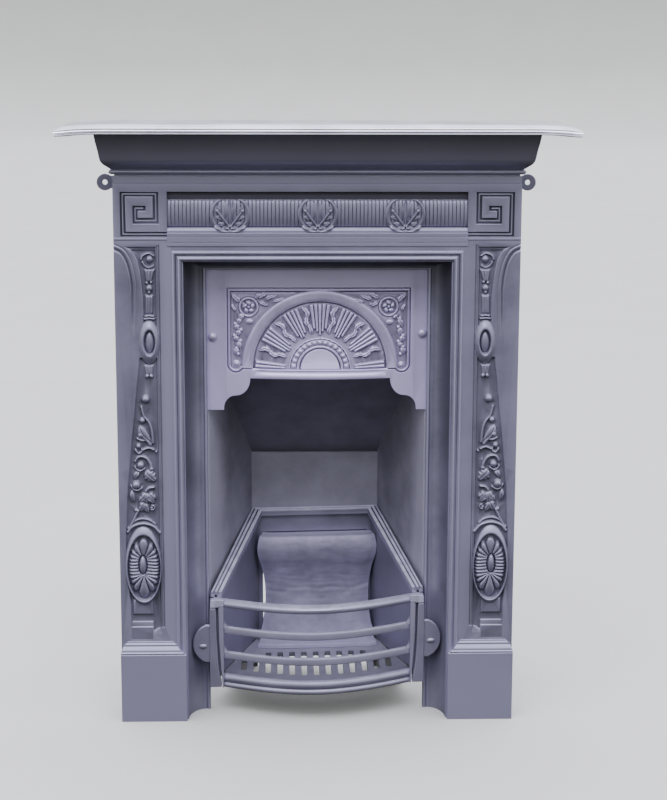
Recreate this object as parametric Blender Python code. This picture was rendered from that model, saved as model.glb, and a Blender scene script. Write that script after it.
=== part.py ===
"""A small cast iron combination fireplace: surround, mantel shelf, hood and fire basket.

Metres, +Z up, the front looks towards -Y. The origin is on the floor, below the middle
of the whole. Depths are counted from FACE, the flat front of the jambs.
"""

import math

import bmesh
import bpy
import numpy as np

# Overall sizes of the surround
BODY_HALF = 0.305
OPEN_HALF = 0.203
OPEN_TOP = 0.7235
PLATE_TOP = 0.8396
PLATE = 0.009
SIDE_WALL = 0.006
BODY_DEPTH = 0.070
FACE = -0.0786

# Mantel shelf
SHELF_HALF = 0.3750
SHELF_FRONT = 0.0880
SHELF_UNDER = 0.9187
SHELF_LIP = 0.9158
SHELF_TOP = 0.9300
CORNICE_TOP = 0.9184
CORNER_SWEEP = 0.007
CORNER_REACH = 0.060
CORNER_DROP = 0.003

# Frieze and its corner blocks
FRIEZE_HALF = 0.2245
FRIEZE_BOTTOM = 0.7690
FRIEZE_HIGH = 0.8275
FRIEZE_DEEP = 0.0060
REED_BOTTOM = 0.7755
REED_TOP = 0.8155
REED_PITCH = 0.00575
ROUNDEL_X = 0.1310
ROUNDEL_Z = 0.7940
ROUNDEL_R = 0.0300
KEY_DEEP = 0.0040
JAMB_PANEL_DEEP = 0.0040

# Jamb ornament, counted for the right hand jamb
PANEL_INNER = 0.2415
PANEL_TOP = 0.7455
OVAL_X = 0.2532
OVAL_Z = 0.6013
PATERA_X = 0.2683
PATERA_Z = 0.2520
PLINTH_TOP = 0.1090
PLINTH_FRONT = 0.0090

# Fixing lugs
LUG_X = 0.3217
LUG_Z = 0.8370
LUG_R = 0.0126
LUG_HOLE = 0.0040

# Hood
HOOD_X = 0.0050
HOOD_HALF = 0.1760
HOOD_FRONT = 0.0565
HOOD_THICK = 0.0050
HOOD_TOP = 0.7180
HOOD_EDGE = 0.5360
HOOD_LEG = 0.4852
HOOD_BOW = 0.0180
FAN_X = 0.0045
FAN_Z = 0.5520
FAN_DEEP = 0.0025
FRAME_X = 0.0029
FRAME_HALF = 0.1417
FRAME_TOP = 0.6762
SCREWS = ((-0.1607, 0.6005), (0.1626, 0.6055))
SCREW_R = 0.0062

# Firebox
CHEEK_FRONT = 0.1680
CHEEK_BACK = 0.1055
BOX_FRONT = 0.0620
BOX_BACK = 0.2435
BOX_WALL = 0.0060
BOX_TOP = 0.5520
FIREBACK_TOP = 0.3745
BACK_OPEN = 0.0962
BACK_OPEN_TOP = 0.2360

# Fire basket, grate and bars, which sit a little askew
ASKEW = 0.0200
RIM_FRONT = 0.0370
RIM_BACK = 0.2420
RIM_WIDTH = 0.0170
RIM_LOW = 0.2005
RIM_SLOPE = 0.398
RIM_SPREAD = 0.1672
RIM_TAPER = 0.3034
WALL_OUT = 0.0055
WALL_IN = 0.0105
BASKET_FOOT = 0.0610
BASKET_BACK = 0.2425
STRIP_OUT = 0.1690
STRIP_TOP = 0.1785
STRIP_FOOT = 0.0485
GRATE_TOP = 0.0600
GRATE_THICK = 0.0080
SLOT_COUNT = 13
SLOT_PITCH = 0.0194
SLOT_WIDTH = 0.0090
SLOT_BACK = 0.1470
BAR_HALF = 0.1485
BAR_END = 0.0280
BAR_BOW = 0.0480
BRICK_X = 0.0035


def clear_scene():
    for obj in list(bpy.data.objects):
        bpy.data.objects.remove(obj, do_unlink=True)


def painted_iron(name, colour, roughness=0.5):
    """Satin grate paint over cast iron."""
    material = bpy.data.materials.new(name)
    material.use_nodes = True
    shader = material.node_tree.nodes["Principled BSDF"]
    shader.inputs["Base Color"].default_value = (*colour, 1.0)
    shader.inputs["Roughness"].default_value = roughness
    shader.inputs["Metallic"].default_value = 0.35
    return material


# Shapes are pairs of a list of points and a list of faces


def outward(points, faces):
    """The same shape with its faces turned out, judged by the sign of its volume."""
    volume = 0.0
    for face in faces:
        a = np.array(points[face[0]])
        for k in range(1, len(face) - 1):
            b = np.array(points[face[k]])
            c = np.array(points[face[k + 1]])
            volume += float(np.dot(a, np.cross(b, c)))
    if volume < 0:
        faces = [tuple(reversed(face)) for face in faces]
    return points, faces


def loft(rings):
    """Closed solid through rings of equal count, with flat ends."""
    count = len(rings[0])
    points = [tuple(p) for ring in rings for p in ring]
    faces = []
    for level in range(len(rings) - 1):
        low = level * count
        for k in range(count):
            n = (k + 1) % count
            faces.append((low + k, low + n, low + count + n, low + count + k))
    faces.append(tuple(range(count))[::-1])
    last = (len(rings) - 1) * count
    faces.append(tuple(range(last, last + count)))
    return outward(points, faces)


def capped(rings, apex):
    """Closed solid through rings that ends in one point."""
    count = len(rings[0])
    points = [tuple(p) for ring in rings for p in ring] + [tuple(apex)]
    faces = []
    for level in range(len(rings) - 1):
        low = level * count
        for k in range(count):
            n = (k + 1) % count
            faces.append((low + k, low + n, low + count + n, low + count + k))
    last = (len(rings) - 1) * count
    for k in range(count):
        faces.append((last + k, last + (k + 1) % count, len(points) - 1))
    faces.append(tuple(range(count))[::-1])
    return outward(points, faces)


def ring_loft(rings):
    """Closed solid through rings that come back to the first one."""
    count = len(rings[0])
    total = len(rings)
    points = [tuple(p) for ring in rings for p in ring]
    faces = []
    for level in range(total):
        low = level * count
        high = ((level + 1) % total) * count
        for k in range(count):
            n = (k + 1) % count
            faces.append((low + k, low + n, high + n, high + k))
    return outward(points, faces)


def box(x0, x1, y0, y1, z0, z1):
    low = [(x0, y0, z0), (x1, y0, z0), (x1, y1, z0), (x0, y1, z0)]
    high = [(x, y, z1) for x, y, _ in low]
    return loft([low, high])


def slab(outline, back, front, inset=0.0):
    """An outline in X and Z, from its back to its front, narrowed towards its middle."""
    cx = sum(p[0] for p in outline) / len(outline)
    cz = sum(p[1] for p in outline) / len(outline)
    reach = max(math.hypot(x - cx, z - cz) for x, z in outline)
    keep = 1.0 - inset / reach
    rear = [(x, back, z) for x, z in outline]
    crest = [(cx + (x - cx) * keep, front, cz + (z - cz) * keep) for x, z in outline]
    return loft([rear, crest])


def knob(x, z, rx, rz, back, front, sides=8, turn=0.0):
    """A low dome on a panel, round or oval."""
    rings = []
    for share, lift in ((1.0, 0.0), (0.78, 0.7))[:1 if sides < 6 else 2]:
        ring = []
        for k in range(sides):
            a = 2 * math.pi * (k + 0.5) / sides
            u, w = rx * share * math.cos(a), rz * share * math.sin(a)
            ring.append((
                x + u * math.cos(turn) - w * math.sin(turn),
                back + (front - back) * lift,
                z + u * math.sin(turn) + w * math.cos(turn),
            ))
        rings.append(ring)
    return capped(rings, (x, front, z))


def leaf(x, z, length, width, turn, back, front):
    """A pointed leaf with one ridge, laid along the direction turn."""
    half = [(0.0, 0.0), (0.42, 0.48), (1.0, 0.0), (0.42, -0.48)]
    c, s = math.cos(turn), math.sin(turn)

    def place(u, w):
        return x + length * u * c - width * w * s, z + length * u * s + width * w * c

    foot = [(px, back, pz) for px, pz in (place(u, w) for u, w in half)]
    cx, cz = place(0.45, 0.0)
    return capped([foot], (cx, front, cz))


def band(x, z, inner, outer, start, end, back, front, steps, stretch=1.0):
    """Part of a flat ring with sloping sides, from angle start to end, or all of it."""
    bevel = (outer - inner) * 0.22
    whole = abs(end - start) > 2 * math.pi - 0.001
    rings = []
    for k in range(steps if whole else steps + 1):
        a = start + (end - start) * k / steps
        ring = []
        for r, y in ((inner, back), (inner + bevel, front), (outer - bevel, front), (outer, back)):
            ring.append((x + r * math.cos(a), y, z + r * stretch * math.sin(a)))
        rings.append(ring)
    return ring_loft(rings) if whole else loft(rings)


def mirrored(shape):
    points, faces = shape
    return [(-x, y, z) for x, y, z in points], [tuple(reversed(face)) for face in faces]


def both_sides(shapes):
    return list(shapes) + [mirrored(shape) for shape in shapes]


def piece(name, shape, material):
    """An object of a shape whose depths are counted from FACE."""
    points, faces = shape
    mesh = bpy.data.meshes.new(name)
    mesh.from_pydata([(x, y + FACE, z) for x, y, z in points], [], faces)
    mesh.validate()
    mesh.update()
    obj = bpy.data.objects.new(name, mesh)
    bpy.context.scene.collection.objects.link(obj)
    obj.data.materials.append(material)
    return obj


def flatten(obj):
    """Triangles instead of faces that may be warped."""
    work = bmesh.new()
    work.from_mesh(obj.data)
    bmesh.ops.triangulate(work, faces=work.faces)
    work.to_mesh(obj.data)
    work.free()


def combine(obj, shape, operation):
    """Joins or cuts a closed shape, and leaves the result as the object's own mesh.

    The exact solver leaves open edges where the carved shapes meet, so this is the manifold one.
    """
    other = piece("tool", shape, obj.data.materials[0])
    flatten(other)
    modifier = obj.modifiers.new("join", "BOOLEAN")
    modifier.operation = operation
    modifier.solver = "MANIFOLD"
    modifier.object = other
    graph = bpy.context.evaluated_depsgraph_get()
    mesh = bpy.data.meshes.new_from_object(obj.evaluated_get(graph))
    obj.modifiers.clear()
    obj.data = mesh
    obj.data.name = obj.name
    bpy.data.objects.remove(other, do_unlink=True)


def finish(obj, angle=35.0):
    """Clears what the cuts left over, such as edges across a flat face, and shades."""
    work = bmesh.new()
    work.from_mesh(obj.data)
    bmesh.ops.remove_doubles(work, verts=work.verts, dist=0.00002)
    bmesh.ops.dissolve_degenerate(work, dist=0.00002, edges=work.edges)
    bmesh.ops.dissolve_limit(work, angle_limit=0.002, verts=work.verts, edges=work.edges)
    bmesh.ops.triangulate(work, faces=work.faces)
    work.to_mesh(obj.data)
    work.free()
    obj.data.shade_smooth()
    obj.data.set_sharp_from_angle(angle=math.radians(angle))


# The surround


def opening_sweep(profile, foot):
    """A profile run up one jamb, across the lintel and down the other.

    Each point is (depth, how far it stands inside the opening at a jamb, and at the lintel).
    """
    left = [(-(OPEN_HALF - a), y, foot) for y, a, _ in profile]
    left_top = [(-(OPEN_HALF - a), y, OPEN_TOP - b) for y, a, b in profile]
    right_top = [(-x, y, z) for x, y, z in left_top]
    right = [(-x, y, z) for x, y, z in left]
    return loft([left, left_top, right_top, right])


def cove_frame():
    """The hollow reveal behind the opening's edge, with the small bead at its back."""
    visible = []
    for k in range(7):
        a = math.pi / 2 * k / 6
        visible.append((0.0010 + 0.0450 * math.sin(a), 0.0010 + 0.0270 * (1 - math.cos(a))))
    visible += [(0.0470, 0.0285), (0.0448, 0.0305), (0.0470, 0.0332), (0.0560, 0.0335)]
    rear = [(0.0560, 0.0270), (0.0510, 0.0215), (0.0330, 0.0010), (0.0070, -0.0050), (0.0020, -0.0050)]
    return opening_sweep([(y, a, a * 0.54) for y, a in visible + rear], 0.0)


def frame_ridges():
    """Two rounded mouldings that run round the opening on the face."""
    line = [
        (0.0020, 0.0006), (-0.0012, 0.0010), (-0.0030, 0.0026), (-0.0032, 0.0052), (-0.0010, 0.0076),
        (-0.0008, 0.0092), (-0.0024, 0.0106), (-0.0026, 0.0140), (-0.0006, 0.0162), (0.0020, 0.0166),
    ]
    return opening_sweep([(y, -a, -a) for y, a in line], PLINTH_TOP - 0.008)


def cornice():
    """The moulded neck below the shelf, a shell that returns to the wall at both ends.

    Each point is (height, how far it stands out at the sides, and at the front).
    """
    line = [
        (0.8300, -0.0030, -0.0030), (0.8395, -0.0030, -0.0030), (0.8396, -0.0008, -0.0008),
        (0.8502, -0.0008, -0.0008), (0.8506, -0.0030, -0.0030), (0.8535, -0.0030, -0.0030),
        (0.8545, 0.0030, 0.0030), (0.8568, 0.0046, 0.0046), (0.8590, 0.0030, 0.0030), (0.8604, 0.0012, 0.0016),
        (0.8640, 0.0050, 0.0090), (0.8685, 0.0105, 0.0185), (0.8735, 0.0142, 0.0250), (0.8800, 0.0160, 0.0285),
        (0.8900, 0.0176, 0.0320), (0.9040, 0.0206, 0.0370), (CORNICE_TOP, 0.0228, 0.0405),
        (CORNICE_TOP, 0.0150, 0.0320), (0.9040, 0.0130, 0.0290), (0.8850, 0.0095, 0.0225),
        (0.8740, 0.0050, 0.0140), (0.8640, -0.0050, -0.0020), (0.8560, -0.0085, -0.0085),
        (0.8300, -0.0085, -0.0085),
    ]
    back = BODY_DEPTH
    left_back = [(-(BODY_HALF + p), back, z) for z, p, _ in line]
    left = [(-(BODY_HALF + p), -q, z) for z, p, q in line]
    right = [(-x, y, z) for x, y, z in left]
    right_back = [(-x, y, z) for x, y, z in left_back]
    return loft([left_back, left, right, right_back])


def reeds():
    """The bulging band of upright reeds in the frieze."""
    count = round(2 * FRIEZE_HALF / REED_PITCH)
    pitch = 2 * FRIEZE_HALF / count
    floor = FRIEZE_DEEP + 0.0008
    columns = [(-FRIEZE_HALF + 0.0004, 0.0)]
    for k in range(count):
        columns.append((-FRIEZE_HALF + pitch * (k + 0.5), 1.0))
        if k < count - 1:
            columns.append((-FRIEZE_HALF + pitch * (k + 1), 0.0))
    columns.append((FRIEZE_HALF - 0.0004, 0.0))
    count = len(columns)
    points, faces = [], []
    for z in (REED_BOTTOM, REED_TOP):
        points += [(x, 0.0040 - 0.0026 * crest, z) for x, crest in columns]
    for k in range(count - 1):
        faces.append((k, k + 1, k + count + 1, k + count))
    rear = len(points)
    for z in (REED_BOTTOM, REED_TOP):
        points += [(columns[0][0], floor, z), (columns[-1][0], floor, z)]
    faces.append((rear, rear + 1, *range(count - 1, -1, -1)))
    faces.append((*range(count, 2 * count), rear + 3, rear + 2))
    faces.append((rear, 0, count, rear + 2))
    faces.append((rear + 1, rear + 3, 2 * count - 1, count - 1))
    faces.append((rear, rear + 2, rear + 3, rear + 1))
    return outward(points, faces)


def roundel(x):
    """A rimmed disc with a palmette, over the reeds."""
    rear = FRIEZE_DEEP + 0.0012
    disc = []
    for r, y in ((ROUNDEL_R, rear), (ROUNDEL_R, -0.0012), (ROUNDEL_R - 0.0030, -0.0026), (ROUNDEL_R - 0.0056, 0.0010)):
        disc.append([(x + r * math.cos(math.pi * k / 9), y, ROUNDEL_Z + r * 0.97 * math.sin(math.pi * k / 9))
                     for k in range(18)])
    shapes = [loft(disc)]
    base = ROUNDEL_Z - 0.014
    shapes.append(leaf(x, base, 0.0345, 0.0078, math.pi / 2, 0.0022, -0.0020))
    for side in (-1, 1):
        a = math.pi / 2 - side * 0.72
        shapes.append(leaf(x + side * 0.0035, base + 0.0045, 0.0265, 0.0105, a, 0.0022, -0.0018))
        a = math.pi / 2 - side * 1.45
        shapes.append(leaf(x + side * 0.0060, base + 0.0035, 0.0150, 0.0070, a, 0.0022, -0.0010))
        shapes.append(leaf(x + side * 0.0020, base - 0.0030, 0.0150, 0.0062, a - side * 0.35, 0.0022, -0.0008))
    return shapes


def key_pocket():
    """The sunk square of the corner block."""
    outline = [(-0.2943, 0.7604), (-0.2225, 0.7604), (-0.2225, 0.7678), (-0.2371, 0.7678),
               (-0.2371, 0.8270), (-0.2943, 0.8270)]
    return slab(outline, KEY_DEEP, -0.0010)


def key_fret():
    """The square spiral that stands in the pocket."""
    outline = [
        (-0.2861, 0.7678), (-0.2362, 0.7678), (-0.2362, 0.7797), (-0.2756, 0.7797),
        (-0.2756, 0.8064), (-0.2561, 0.8064), (-0.2561, 0.7990), (-0.2681, 0.7990),
        (-0.2681, 0.7887), (-0.2457, 0.7887), (-0.2457, 0.8168), (-0.2861, 0.8168),
    ]
    return slab(outline, KEY_DEEP + 0.001, -0.0004)


def panel_side(z):
    """Outer edge of the sunk jamb panel at a height, wide at its top and swelling to its foot."""
    if z > 0.60:
        share = min(max((z - 0.637) / 0.105, 0.0), 1.0)
        return 0.2638 + 0.0190 * share ** 4.5
    share = min(max((0.5743 - z) / 0.2497, 0.0), 1.0)
    return 0.2679 + 0.0265 * share ** 0.75


def pocket(low, high, steps):
    """A cutter for one length of the jamb panel, with sloping sides."""
    heights = [low + (high - low) * k / steps for k in range(steps + 1)]
    wide = [(PANEL_INNER, heights[0])]
    wide += [(panel_side(z), z) for z in heights]
    wide.append((PANEL_INNER, heights[-1]))
    slope = 0.0042
    deep = []
    for k, (x, z) in enumerate(wide):
        x += slope if x == PANEL_INNER else -slope
        z = min(max(z, low + slope), high - slope)
        deep.append((x, z))
    front = [(x, -0.0012, z) for x, z in wide]
    lip = [(x, 0.0, z) for x, z in wide]
    rear = [(x, JAMB_PANEL_DEEP, z) for x, z in deep]
    return loft([front, lip, rear])


def sweep_fillet():
    """The curved line that falls from the outer corner of the jamb and dies away."""
    line = []
    for k in range(9):
        t = k / 8
        z = 0.7440 - 0.0900 * t ** 1.35
        line.append((0.3048 - 0.0262 * (1 - (1 - t) ** 3.2), z))
    rings = []
    for k, (x, z) in enumerate(line):
        before = line[max(k - 1, 0)]
        after = line[min(k + 1, 8)]
        dx, dz = after[0] - before[0], after[1] - before[1]
        size = math.hypot(dx, dz)
        nx, nz = -dz / size, dx / size
        half = 0.0016 * (1 - 0.6 * k / 8)
        depth = 0.0014 * (1 - 0.75 * k / 8)
        rings.append([
            (x - nx * half, -0.0006, z - nz * half), (x, depth, z), (x + nx * half, -0.0006, z + nz * half),
        ])
    return loft(rings)


def oval_boss():
    """The oval cabochon in its collar, halfway up the jamb."""
    shapes = [band(OVAL_X, OVAL_Z, 0.0098, 0.0140, 0, 2 * math.pi, 0.0050, -0.0045, 16, 2.32)]
    shapes.append(knob(OVAL_X, OVAL_Z, 0.0072, 0.0178, 0.0050, -0.0035, 12))
    shapes.append(slab([(0.2455, 0.6330), (0.2610, 0.6330), (0.2590, 0.6400), (0.2475, 0.6400)], 0.0050, -0.0020, 0.001))
    shapes.append(slab([(0.2450, 0.5560), (0.2620, 0.5560), (0.2600, 0.5705), (0.2470, 0.5705)], 0.0050, -0.0006, 0.001))
    return shapes


def patera():
    """The long oval flower at the foot of the jamb panel."""
    shapes = [band(PATERA_X, PATERA_Z, 0.0252, 0.0288, 0, 2 * math.pi, 0.0050, -0.0050, 20, 1.95)]
    petals = 16
    for k in range(petals):
        a = 2 * math.pi * k / petals
        half = math.pi / petals * 0.84
        outline = []
        for r, spread in ((0.40, 0.0), (0.82, 1.0), (0.98, 0.0), (0.82, -1.0)):
            b = a + spread * half
            outline.append((PATERA_X + 0.0245 * r * math.cos(b), PATERA_Z + 0.0480 * r * math.sin(b)))
        cx = sum(p[0] for p in outline) / 4
        cz = sum(p[1] for p in outline) / 4
        shapes.append(capped([[(x, 0.0050, z) for x, z in outline]], (cx, -0.0028, cz)))
    shapes.append(knob(PATERA_X, PATERA_Z + 0.002, 0.0062, 0.0160, 0.0050, -0.0045, 10))
    shapes.append(slab([(0.2520, 0.1800), (0.2850, 0.1800), (0.2890, 0.1925), (0.2485, 0.1925)], 0.0050, -0.0030, 0.001))
    shapes.append(slab([(0.2545, 0.1300), (0.2880, 0.1300), (0.2880, 0.1520), (0.2545, 0.1520)], 0.0050, -0.0008, 0.0))
    shapes.append(slab([(0.2570, 0.1515), (0.2855, 0.1515), (0.2855, 0.1590), (0.2570, 0.1590)], 0.0050, 0.0006, 0.0))
    return shapes


def drops():
    """Bells, berries and leaves that hang down the jamb panel."""
    floor = JAMB_PANEL_DEEP + 0.001
    shapes = [
        knob(0.2532, 0.7256, 0.0052, 0.0052, floor, -0.0030),
        slab([(0.2505, 0.6965), (0.2560, 0.6965), (0.2600, 0.7165), (0.2465, 0.7165)], floor, 0.0000, 0.002),
        knob(0.2540, 0.6826, 0.0056, 0.0062, floor, -0.0022),
        slab([(0.2480, 0.6420), (0.2590, 0.6420), (0.2590, 0.6700), (0.2480, 0.6700)], floor, 0.0016, 0.002),
        knob(0.2605, 0.5140, 0.0062, 0.0062, floor, -0.0030),
    ]
    trail = [(0.2660, 0.4805, 0.0048), (0.2690, 0.4580, 0.0048), (0.2720, 0.4405, 0.0044), (0.2690, 0.4110, 0.0056),
             (0.2520, 0.4065, 0.0040), (0.2770, 0.3805, 0.0068), (0.2760, 0.3400, 0.0040)]
    for x, z, r in trail:
        shapes.append(knob(x, z, r, r, floor, -0.0026, 6))
    blades = [
        (0.2670, 0.5020, 0.0230, 0.0070, -2.05), (0.2560, 0.4790, 0.0260, 0.0070, -1.75),
        (0.2585, 0.4500, 0.0180, 0.0080, -2.60), (0.2520, 0.4360, 0.0190, 0.0060, -1.35),
        (0.2620, 0.3860, 0.0200, 0.0090, -0.95), (0.2500, 0.3720, 0.0130, 0.0080, -2.30),
        (0.2690, 0.3610, 0.0170, 0.0090, -1.30), (0.2530, 0.3530, 0.0160, 0.0080, -1.00),
        (0.2790, 0.3330, 0.0230, 0.0045, -1.05),
    ]
    for x, z, length, width, turn in blades:
        shapes.append(leaf(x, z, length, width, turn, floor, -0.0018))
    return shapes


def plinth():
    """The block that one jamb stands on, and the stepped base moulding above it."""
    outer, inner = BODY_HALF + 0.0010, OPEN_HALF + 0.0012

    def level(z, x0, x1, y):
        return [(x0, y, z), (x1, y, z), (x1, 0.0060, z), (x0, 0.0060, z)]

    block = loft([
        level(0.0, inner, outer, -PLINTH_FRONT),
        level(PLINTH_TOP - 0.0012, inner, outer, -PLINTH_FRONT),
        level(PLINTH_TOP, 0.2080, outer, -PLINTH_FRONT + 0.0012),
        level(PLINTH_TOP + 0.0020, 0.2110, outer, -PLINTH_FRONT + 0.0022),
        level(PLINTH_TOP + 0.0036, 0.2125, outer - 0.0008, -PLINTH_FRONT + 0.0024),
        level(PLINTH_TOP + 0.0100, 0.2165, 0.3046, -0.0036),
        level(PLINTH_TOP + 0.0136, 0.2200, 0.2990, -0.0034),
        level(PLINTH_TOP + 0.0180, 0.2262, 0.2925, -0.0012),
    ])
    return block


def lug():
    """A fixing ear with its hole, at the wall side of the body."""
    rings = []
    for k in range(14):
        a = 2 * math.pi * k / 14
        ring = []
        for r, y in ((LUG_HOLE, 0.0630), (LUG_HOLE, 0.0695), (LUG_R, 0.0695), (LUG_R, 0.0630)):
            ring.append((LUG_X + r * math.cos(a), y, LUG_Z + r * math.sin(a)))
        rings.append(ring)
    neck = box(BODY_HALF - 0.0030, LUG_X - LUG_HOLE - 0.0015, 0.0632, 0.0693, LUG_Z - 0.0095, LUG_Z + 0.0095)
    return [ring_loft(rings), neck]


def surround():
    iron = painted_iron("surround_iron", (0.052, 0.054, 0.062), 0.48)
    outline = [(-BODY_HALF, 0), (-OPEN_HALF, 0), (-OPEN_HALF, OPEN_TOP), (OPEN_HALF, OPEN_TOP),
               (OPEN_HALF, 0), (BODY_HALF, 0), (BODY_HALF, PLATE_TOP), (-BODY_HALF, PLATE_TOP)]
    body = piece("surround", slab(outline, PLATE, 0.0), iron)
    side = box(BODY_HALF - SIDE_WALL, BODY_HALF, 0.0030, BODY_DEPTH, 0.0, PLATE_TOP)
    for shape in both_sides([side]):
        combine(body, shape, "UNION")
    combine(body, cornice(), "UNION")
    combine(body, cove_frame(), "UNION")
    recess = slab([(-FRIEZE_HALF, FRIEZE_BOTTOM), (FRIEZE_HALF, FRIEZE_BOTTOM), (FRIEZE_HALF, FRIEZE_HIGH),
                   (-FRIEZE_HALF, FRIEZE_HIGH)], FRIEZE_DEEP, -0.0010)
    pockets = [pocket(0.6340, PANEL_TOP, 7), pocket(0.3080, 0.5740, 7), pocket(0.1310, 0.1990, 2)]
    for shape in [recess, *both_sides([key_pocket(), sweep_fillet(), *pockets])]:
        combine(body, shape, "DIFFERENCE")
    combine(body, reeds(), "UNION")
    ledge = slab([(-FRIEZE_HALF - 0.0006, 0.7462), (FRIEZE_HALF + 0.0006, 0.7462),
                  (FRIEZE_HALF + 0.0006, 0.7664), (-FRIEZE_HALF - 0.0006, 0.7664)], 0.0040, -0.0016)
    combine(body, ledge, "UNION")
    combine(body, frame_ridges(), "UNION")
    for shape in both_sides([plinth()]):
        combine(body, shape, "UNION")
    roundels = [shape for x in (-ROUNDEL_X, 0.0, ROUNDEL_X) for shape in roundel(x)]
    carving = both_sides([key_fret(), *oval_boss(), *patera(), *drops(), *lug()])
    for shape in roundels + carving:
        combine(body, shape, "UNION")
    finish(body)
    return body


# The mantel shelf


def shelf_outline(inset, z, droop):
    """The three moulded edges of the shelf, with corners that sweep out and droop a little."""
    half = SHELF_HALF - inset
    front = SHELF_FRONT - inset
    points = []
    for share in (0.0, 0.30, 0.52, 0.70, 0.84, 0.94):
        y = BODY_DEPTH - (BODY_DEPTH + front) * share
        flare = (1 - min((y + front) / CORNER_REACH, 1.0)) ** 2.2
        points.append((half + CORNER_SWEEP * (flare - 0.4), y, z - CORNER_DROP * flare * droop))
    tip = CORNER_SWEEP * 0.6
    points.append((half + tip, -front - tip, z - CORNER_DROP * droop))
    for gap in (0.010, 0.022, 0.038, 0.060, 0.180):
        flare = max(1 - gap / CORNER_REACH, 0.0) ** 2.2
        points.append((half - gap, -front - CORNER_SWEEP * (flare - 0.4), z - CORNER_DROP * flare * droop))
    return points + [(-x, y, w) for x, y, w in reversed(points)]


def mantel_shelf():
    iron = painted_iron("shelf_iron", (0.060, 0.062, 0.070), 0.42)
    edge = [
        (0.0560, SHELF_UNDER, 0), (0.0300, SHELF_UNDER, 0), (0.0120, SHELF_UNDER - 0.0004, 0.6),
        (0.0090, SHELF_LIP, 1), (0.0026, SHELF_LIP, 1), (0.0004, SHELF_LIP + 0.0014, 1),
        (0.0022, SHELF_LIP + 0.0032, 1), (0.0000, SHELF_LIP + 0.0060, 1), (0.0030, SHELF_LIP + 0.0082, 1),
        (0.0044, SHELF_LIP + 0.0100, 1), (0.0090, SHELF_TOP - 0.0016, 1),
        (0.0160, SHELF_TOP - 0.0002, 0.8), (0.0560, SHELF_TOP, 0),
    ]
    rings = [shelf_outline(inset, z, droop) for inset, z, droop in edge]
    shelf = piece("mantel_shelf", loft(rings), iron)
    hollow = loft([[(x * 0.90, 0.0250 + (y - 0.0200) * 0.72, z) for x, y, _ in rings[0]]
                   for z in (SHELF_UNDER - 0.001, SHELF_UNDER + 0.0055)])
    combine(shelf, hollow, "DIFFERENCE")
    finish(shelf)
    return shelf


# The hood


def arc_points(cx, cz, radius, start, end, steps):
    return [(cx + radius * math.cos(start + (end - start) * k / steps),
             cz + radius * math.sin(start + (end - start) * k / steps)) for k in range(steps + 1)]


def hood_outline():
    """The plate with its two legs and the double curve between a leg and the lower edge."""
    outer, leg, step, edge = HOOD_HALF, 0.1490, 0.1310, 0.1080
    half = [(outer, HOOD_TOP), (outer, HOOD_LEG), (leg, HOOD_LEG), (leg, HOOD_LEG + 0.0030)]
    for k in range(1, 5):
        a = math.pi / 2 * k / 4
        half.append((step + (leg - step) * math.cos(a), 0.4882 + 0.0200 * math.sin(a)))
    for k in range(1, 5):
        a = math.pi / 2 * k / 4
        half.append((step - (step - edge) * math.sin(a), HOOD_EDGE - 0.0278 * math.cos(a)))
    half += [(0.0700, HOOD_EDGE), (0.0350, HOOD_EDGE)]
    left = [(-x, z) for x, z in half]
    return [(HOOD_X + x, z) for x, z in half + [(0.0, HOOD_EDGE)] + left[::-1]]


def hood_pocket():
    """The sunk field of the hood, a rectangle with a round lobe at each lower corner."""
    lobe, r = FRAME_HALF - 0.0132, 0.0132
    right = [(FRAME_HALF, FRAME_TOP)]
    right += arc_points(lobe, 0.5572, r, 0.0, -math.pi * 0.80, 6)
    right.append((0.1150, 0.5500))
    left = [(-x, z) for x, z in right]
    return [(FRAME_X + x, z) for x, z in right + left[::-1]]


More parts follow.
